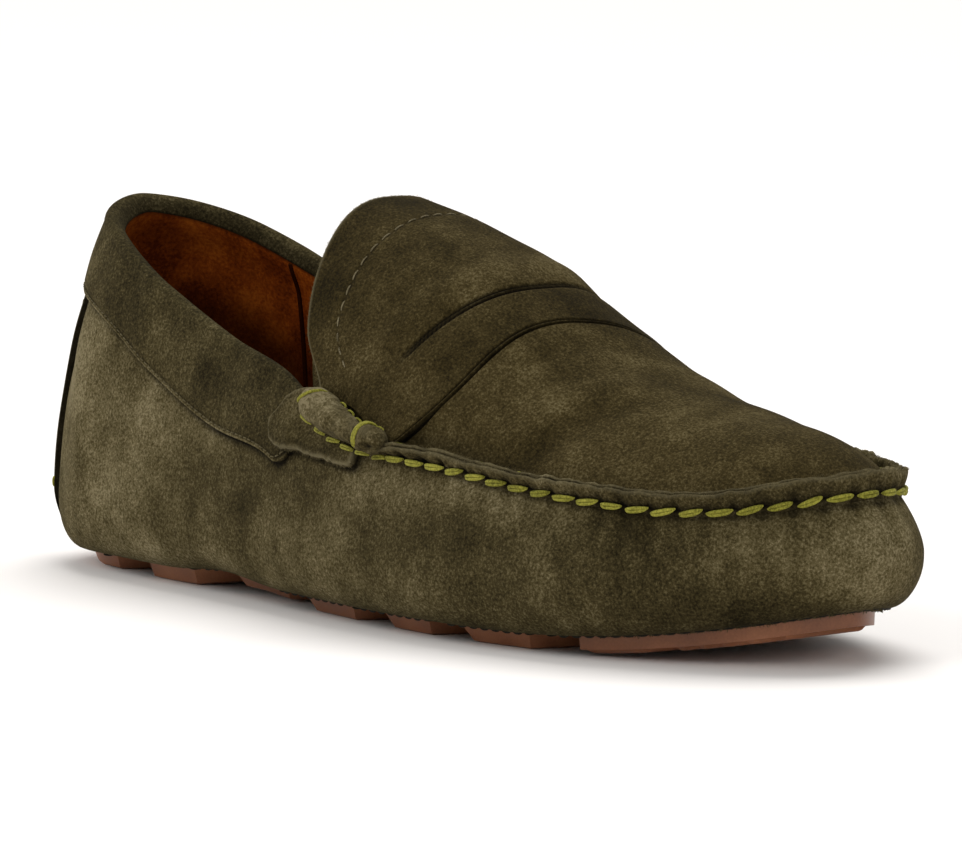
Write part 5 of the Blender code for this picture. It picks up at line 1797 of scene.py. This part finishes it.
def collarStitches():
    t = collarKnots(500)
    x = outline(t)[0][:, 0]
    share = shareBelowRim(x, collarDrop(x) - collarShape["stitchUp"])
    line = wallPoint(t, share, wall["gap"] + collarShape["edge"])
    outer = wallPoint(t, share, wall["gap"] + collarShape["edge"] + 1.0)
    pitch, *stitch = sewing["collar"]
    place, along, at = evenly(line, pitch)
    out = unit(spread(at, np.linspace(0, 1, len(t)), outer - line))
    return singleStitches(place, along, out, *stitch)


def tongueStitches():
    share = np.linspace(-0.925, 0.925, 400)
    steps = sewingStep(share)
    rows = np.stack([steps - 0.05, steps, steps + 0.05])
    grid = plugPoint(rows, share * tongueReach(rows))
    normal = upNormals(grid)[1]
    line = grid[1] + normal * (tongueShape["gap"] + tongueShape["thick"] - 0.12)
    pitch, *stitch = sewing["tongue"]
    place, along, at = evenly(line, pitch)
    arc = arcLength(line)
    out = unit(spread(at, arc / arc[-1], normal))
    return singleStitches(place, along, out, *stitch)


def stripStitches():
    pitch, *stitch = sewing["strip"]
    parts = []
    for sign in (-1, 1):
        t = heelKnots(np.full(80, sign * (strip["halfWidth"] - strip["sewnIn"])))
        x = outline(t)[0][0, 0]
        rise = rimHeight(x) - widest(x)
        low = (strip["bottom"] + 1.5 - widest(x)) / rise
        top = 1 - (collarDrop(x) + 3.0) / rise
        share = low + (top - low) * np.linspace(0.04, 1, 80)
        lift = wall["gap"] - 0.15
        lift = lift + strip["thick"] * stripSwell((share - strip["under"]) / (top - strip["under"]))
        line = wallPoint(t, share, lift)
        outer = wallPoint(t, share, lift + 1.0)
        place, along, _ = evenly(line, pitch)
        out = np.broadcast_to(unit((outer - line)[:1]), place.shape)
        parts.append(singleStitches(place, along, out, *stitch))
    return merge(parts)


addPiece("collarSewing", *collarStitches(), [oliveThread], "suede")
addPiece("tongueSewing", *tongueStitches(), [tanThread], "suede")
addPiece("stripSewing", *stripStitches(), [oliveThread], "suede")


def soleStitches():
    lines = [insetRing(np.linspace(0, lapKnot, 500), lambda x: 0.55 * (tuck(x) + rubberEdge(x)))]
    for window, _ in blocks:
        if len(window) != dot["sides"]:
            lines.append(insetPolygon(window, -2.6))
    pitch, *stitch = sewing["sole"]
    parts = []
    edge = insetRing(np.linspace(0, lapKnot, 300), lambda x: tuck(x) * 0.9)
    for line in lines:
        place, along, _ = evenly(line, pitch, closed=True)
        good = within(edge, place)
        place = np.column_stack([place, tread(place[:, 0]) + sole["lugHeight"] - 0.05])[good]
        along = np.column_stack([along[good], treadSlope(place[:, 0]) * along[good, 0]])
        out = np.column_stack([treadSlope(place[:, 0]), 0 * place[:, 0], -np.ones(len(place))])
        parts.append(singleStitches(place, unit(along), unit(out), *stitch))
    return merge(parts)


addPiece("soleSewing", *soleStitches(), [darkThread], "suede")

# hairs on the raw edges: distance between them, length, thickness
ridgeHairs = (0.45, 0.5, 0.06)
soleHairs = (0.33, 0.8, 0.2)
soleHairsFrom = 232.0  # x; they go round the toe from here


def buildHairs():
    place = seamFrame(fineSteps, fineSides)
    tall = 0.93 * ridgeTall(np.minimum(fineArc, fineArc[-1] - fineArc))
    for across in (-0.8, -0.3, 0.3, 0.8):
        lean = place["up"] + 0.5 * across * place["side"]
        rawEdges.append((ridgePoint(place, across, 1.0, 0.0, tall), lean, *ridgeHairs))
    t = np.linspace(knotAt(soleHairsFrom, -1), knotAt(soleHairsFrom, 1), 300)
    plan = insetRing(t, lambda x: rubberEdge(x) - 0.5)
    edge = np.column_stack([plan, tread(plan[:, 0]) + sole["lugHeight"]])
    away = np.column_stack([0.6 * outline(t)[1], -np.ones(len(t))])
    rawEdges.append((edge, away, *soleHairs))
    parts = []
    for number, (line, lean, pitch, long, radius) in enumerate(rawEdges):
        roots, _, at = evenly(line, pitch)
        pick = np.round(at * (len(line) - 1)).astype(int)
        parts.append(fibres(roots, lean[pick], long, radius, 60 + number))
    points, faces = merge(parts)
    return addPiece("edgeHairs", points, faces, [suede], "suede", None, {"pale": np.full(len(points), 0.3)})


buildHairs()

# closing seam of the lining on the inner side
liningSeam = {"x": 46.3, "slant": -0.11, "radius": 0.65, "long": 58.0, "dark": 0.95}


def liningSeamPath():
    drop = np.linspace(0.5, liningSeam["long"], 60)
    x = liningSeam["x"] + liningSeam["slant"] * drop
    share = shareBelowRim(x, drop)
    thick = (wall["gap"] + collarShape["top"]) * (1 - smoothStep(drop, 0.0, collarShape["liningDrop"])) + 0.04
    return wallPoint(knotAt(x, 1), share, -wall["suede"] - thick)


seamPoints, seamFaces = tubes(liningSeamPath()[None], liningSeam["radius"], (0.0, 1.0, 0.0), 8)
seamMarks = {"dark": np.full(len(seamPoints), liningSeam["dark"])}
addPiece("liningSeam", seamPoints, seamFaces, [lining], "lining", None, seamMarks)

# lime tacks at the lower ends of the heel strip
stripTack = {"long": 2.6, "rise": 0.25, "radius": 0.28, "apart": 0.26, "slope": 0.0, "thread": 0.28,
             "taper": 0.0, "steps": 9, "sides": 8, "up": 1.6, "in": 0.7}


def stripTacks():
    reach = strip["halfWidth"] - stripTack["in"]
    t = heelKnots(np.array([-reach, reach]))
    x = outline(t)[0][:, 0]
    share = stripTack["up"] / (rimHeight(x) - widest(x))
    lift = wall["gap"] + 0.85 * strip["thick"]
    spot = wallPoint(t, share, lift)
    face = unit(wallPoint(t, share, lift + 1.0) - spot)
    along = unit(wallPoint(t, share + 0.02, lift) - spot)
    return twinStitches(spot, along, face, stripTack, 41)


addPiece("stripTacks", *stripTacks(), [limeThread], "suede")
print("sewing done")

# floor, light and camera
camera = {"place": (1939.73, -1544.85, 326.11), "azimuth": -49.25, "elevation": -6.77, "focalPixels": 9852.0,
          "imageWidth": 962.0, "sensor": 36.0}
studio = {"world": 0.38, "sun": 2.35, "sunSpread": 52.0, "sunTurn": (-22.0, -12.0, 0.0), "floorReach": 20.0,
          "floor": (0.94, 0.905, 0.875, 1.0)}
lamps = (  # name, place and target in metres, size, power
    ("keyLight", (0.2, -1.7, 1.3), (0.0, 0.0, 0.05), 1.2, 11.5),
    ("fillLight", (1.7, -0.3, 0.8), (0.05, 0.0, 0.05), 1.0, 7.0),
    ("sideLight", (-1.6, -0.9, 0.8), (-0.1, 0.0, 0.05), 1.0, 11.0),
)


def addLight(name, place, target, size, power):
    lamp = bpy.data.lights.new(name, "AREA")
    lamp.shape = "DISK"
    lamp.size = size
    lamp.energy = power
    item = bpy.data.objects.new(name, lamp)
    item.location = place
    item.rotation_euler = (Vector(target) - Vector(place)).to_track_quat("-Z", "Y").to_euler()
    bpy.context.scene.collection.objects.link(item)


def buildStudio():
    scene = bpy.context.scene
    scene.view_settings.view_transform = "Standard"
    world = bpy.data.worlds.new("studio")
    world.use_nodes = True
    world.node_tree.nodes["Background"].inputs["Color"].default_value = (1.0, 1.0, 1.0, 1.0)
    world.node_tree.nodes["Background"].inputs["Strength"].default_value = studio["world"]
    scene.world = world
    floorMesh = bpy.data.meshes.new("floor")
    reach = studio["floorReach"]
    corners = [(-reach, -reach, 0), (reach, -reach, 0), (reach, reach, 0), (-reach, reach, 0)]
    floorMesh.from_pydata(corners, [], [(0, 1, 2, 3)])
    floor = bpy.data.objects.new("floor", floorMesh)
    scene.collection.objects.link(floor)
    finish = {"Base Color": studio["floor"], "Roughness": 0.7, "Specular IOR Level": 0.2}
    floorMesh.materials.append(newMaterial("paleFloor", finish)[0])
    sky = bpy.data.lights.new("softSky", "SUN")
    sky.energy = studio["sun"]
    sky.angle = np.radians(studio["sunSpread"])
    overhead = bpy.data.objects.new("softSky", sky)
    overhead.rotation_euler = np.radians(studio["sunTurn"])
    scene.collection.objects.link(overhead)
    for lamp in lamps:
        addLight(*lamp)


def buildCamera():
    lens = bpy.data.cameras.new("camera")
    lens.sensor_width = camera["sensor"]
    lens.lens = camera["focalPixels"] * camera["sensor"] / camera["imageWidth"]
    lens.clip_end = 100.0
    item = bpy.data.objects.new("camera", lens)
    item.location = (np.array(camera["place"]) + shift) * mm
    turn = np.radians(camera["azimuth"])
    tilt = np.radians(camera["elevation"])
    ahead = Vector((np.sin(turn) * np.cos(tilt), np.cos(turn) * np.cos(tilt), np.sin(tilt)))
    item.rotation_euler = ahead.to_track_quat("-Z", "Y").to_euler()
    bpy.context.scene.collection.objects.link(item)
    bpy.context.scene.camera = item


buildStudio()
buildCamera()
print("scene ready")
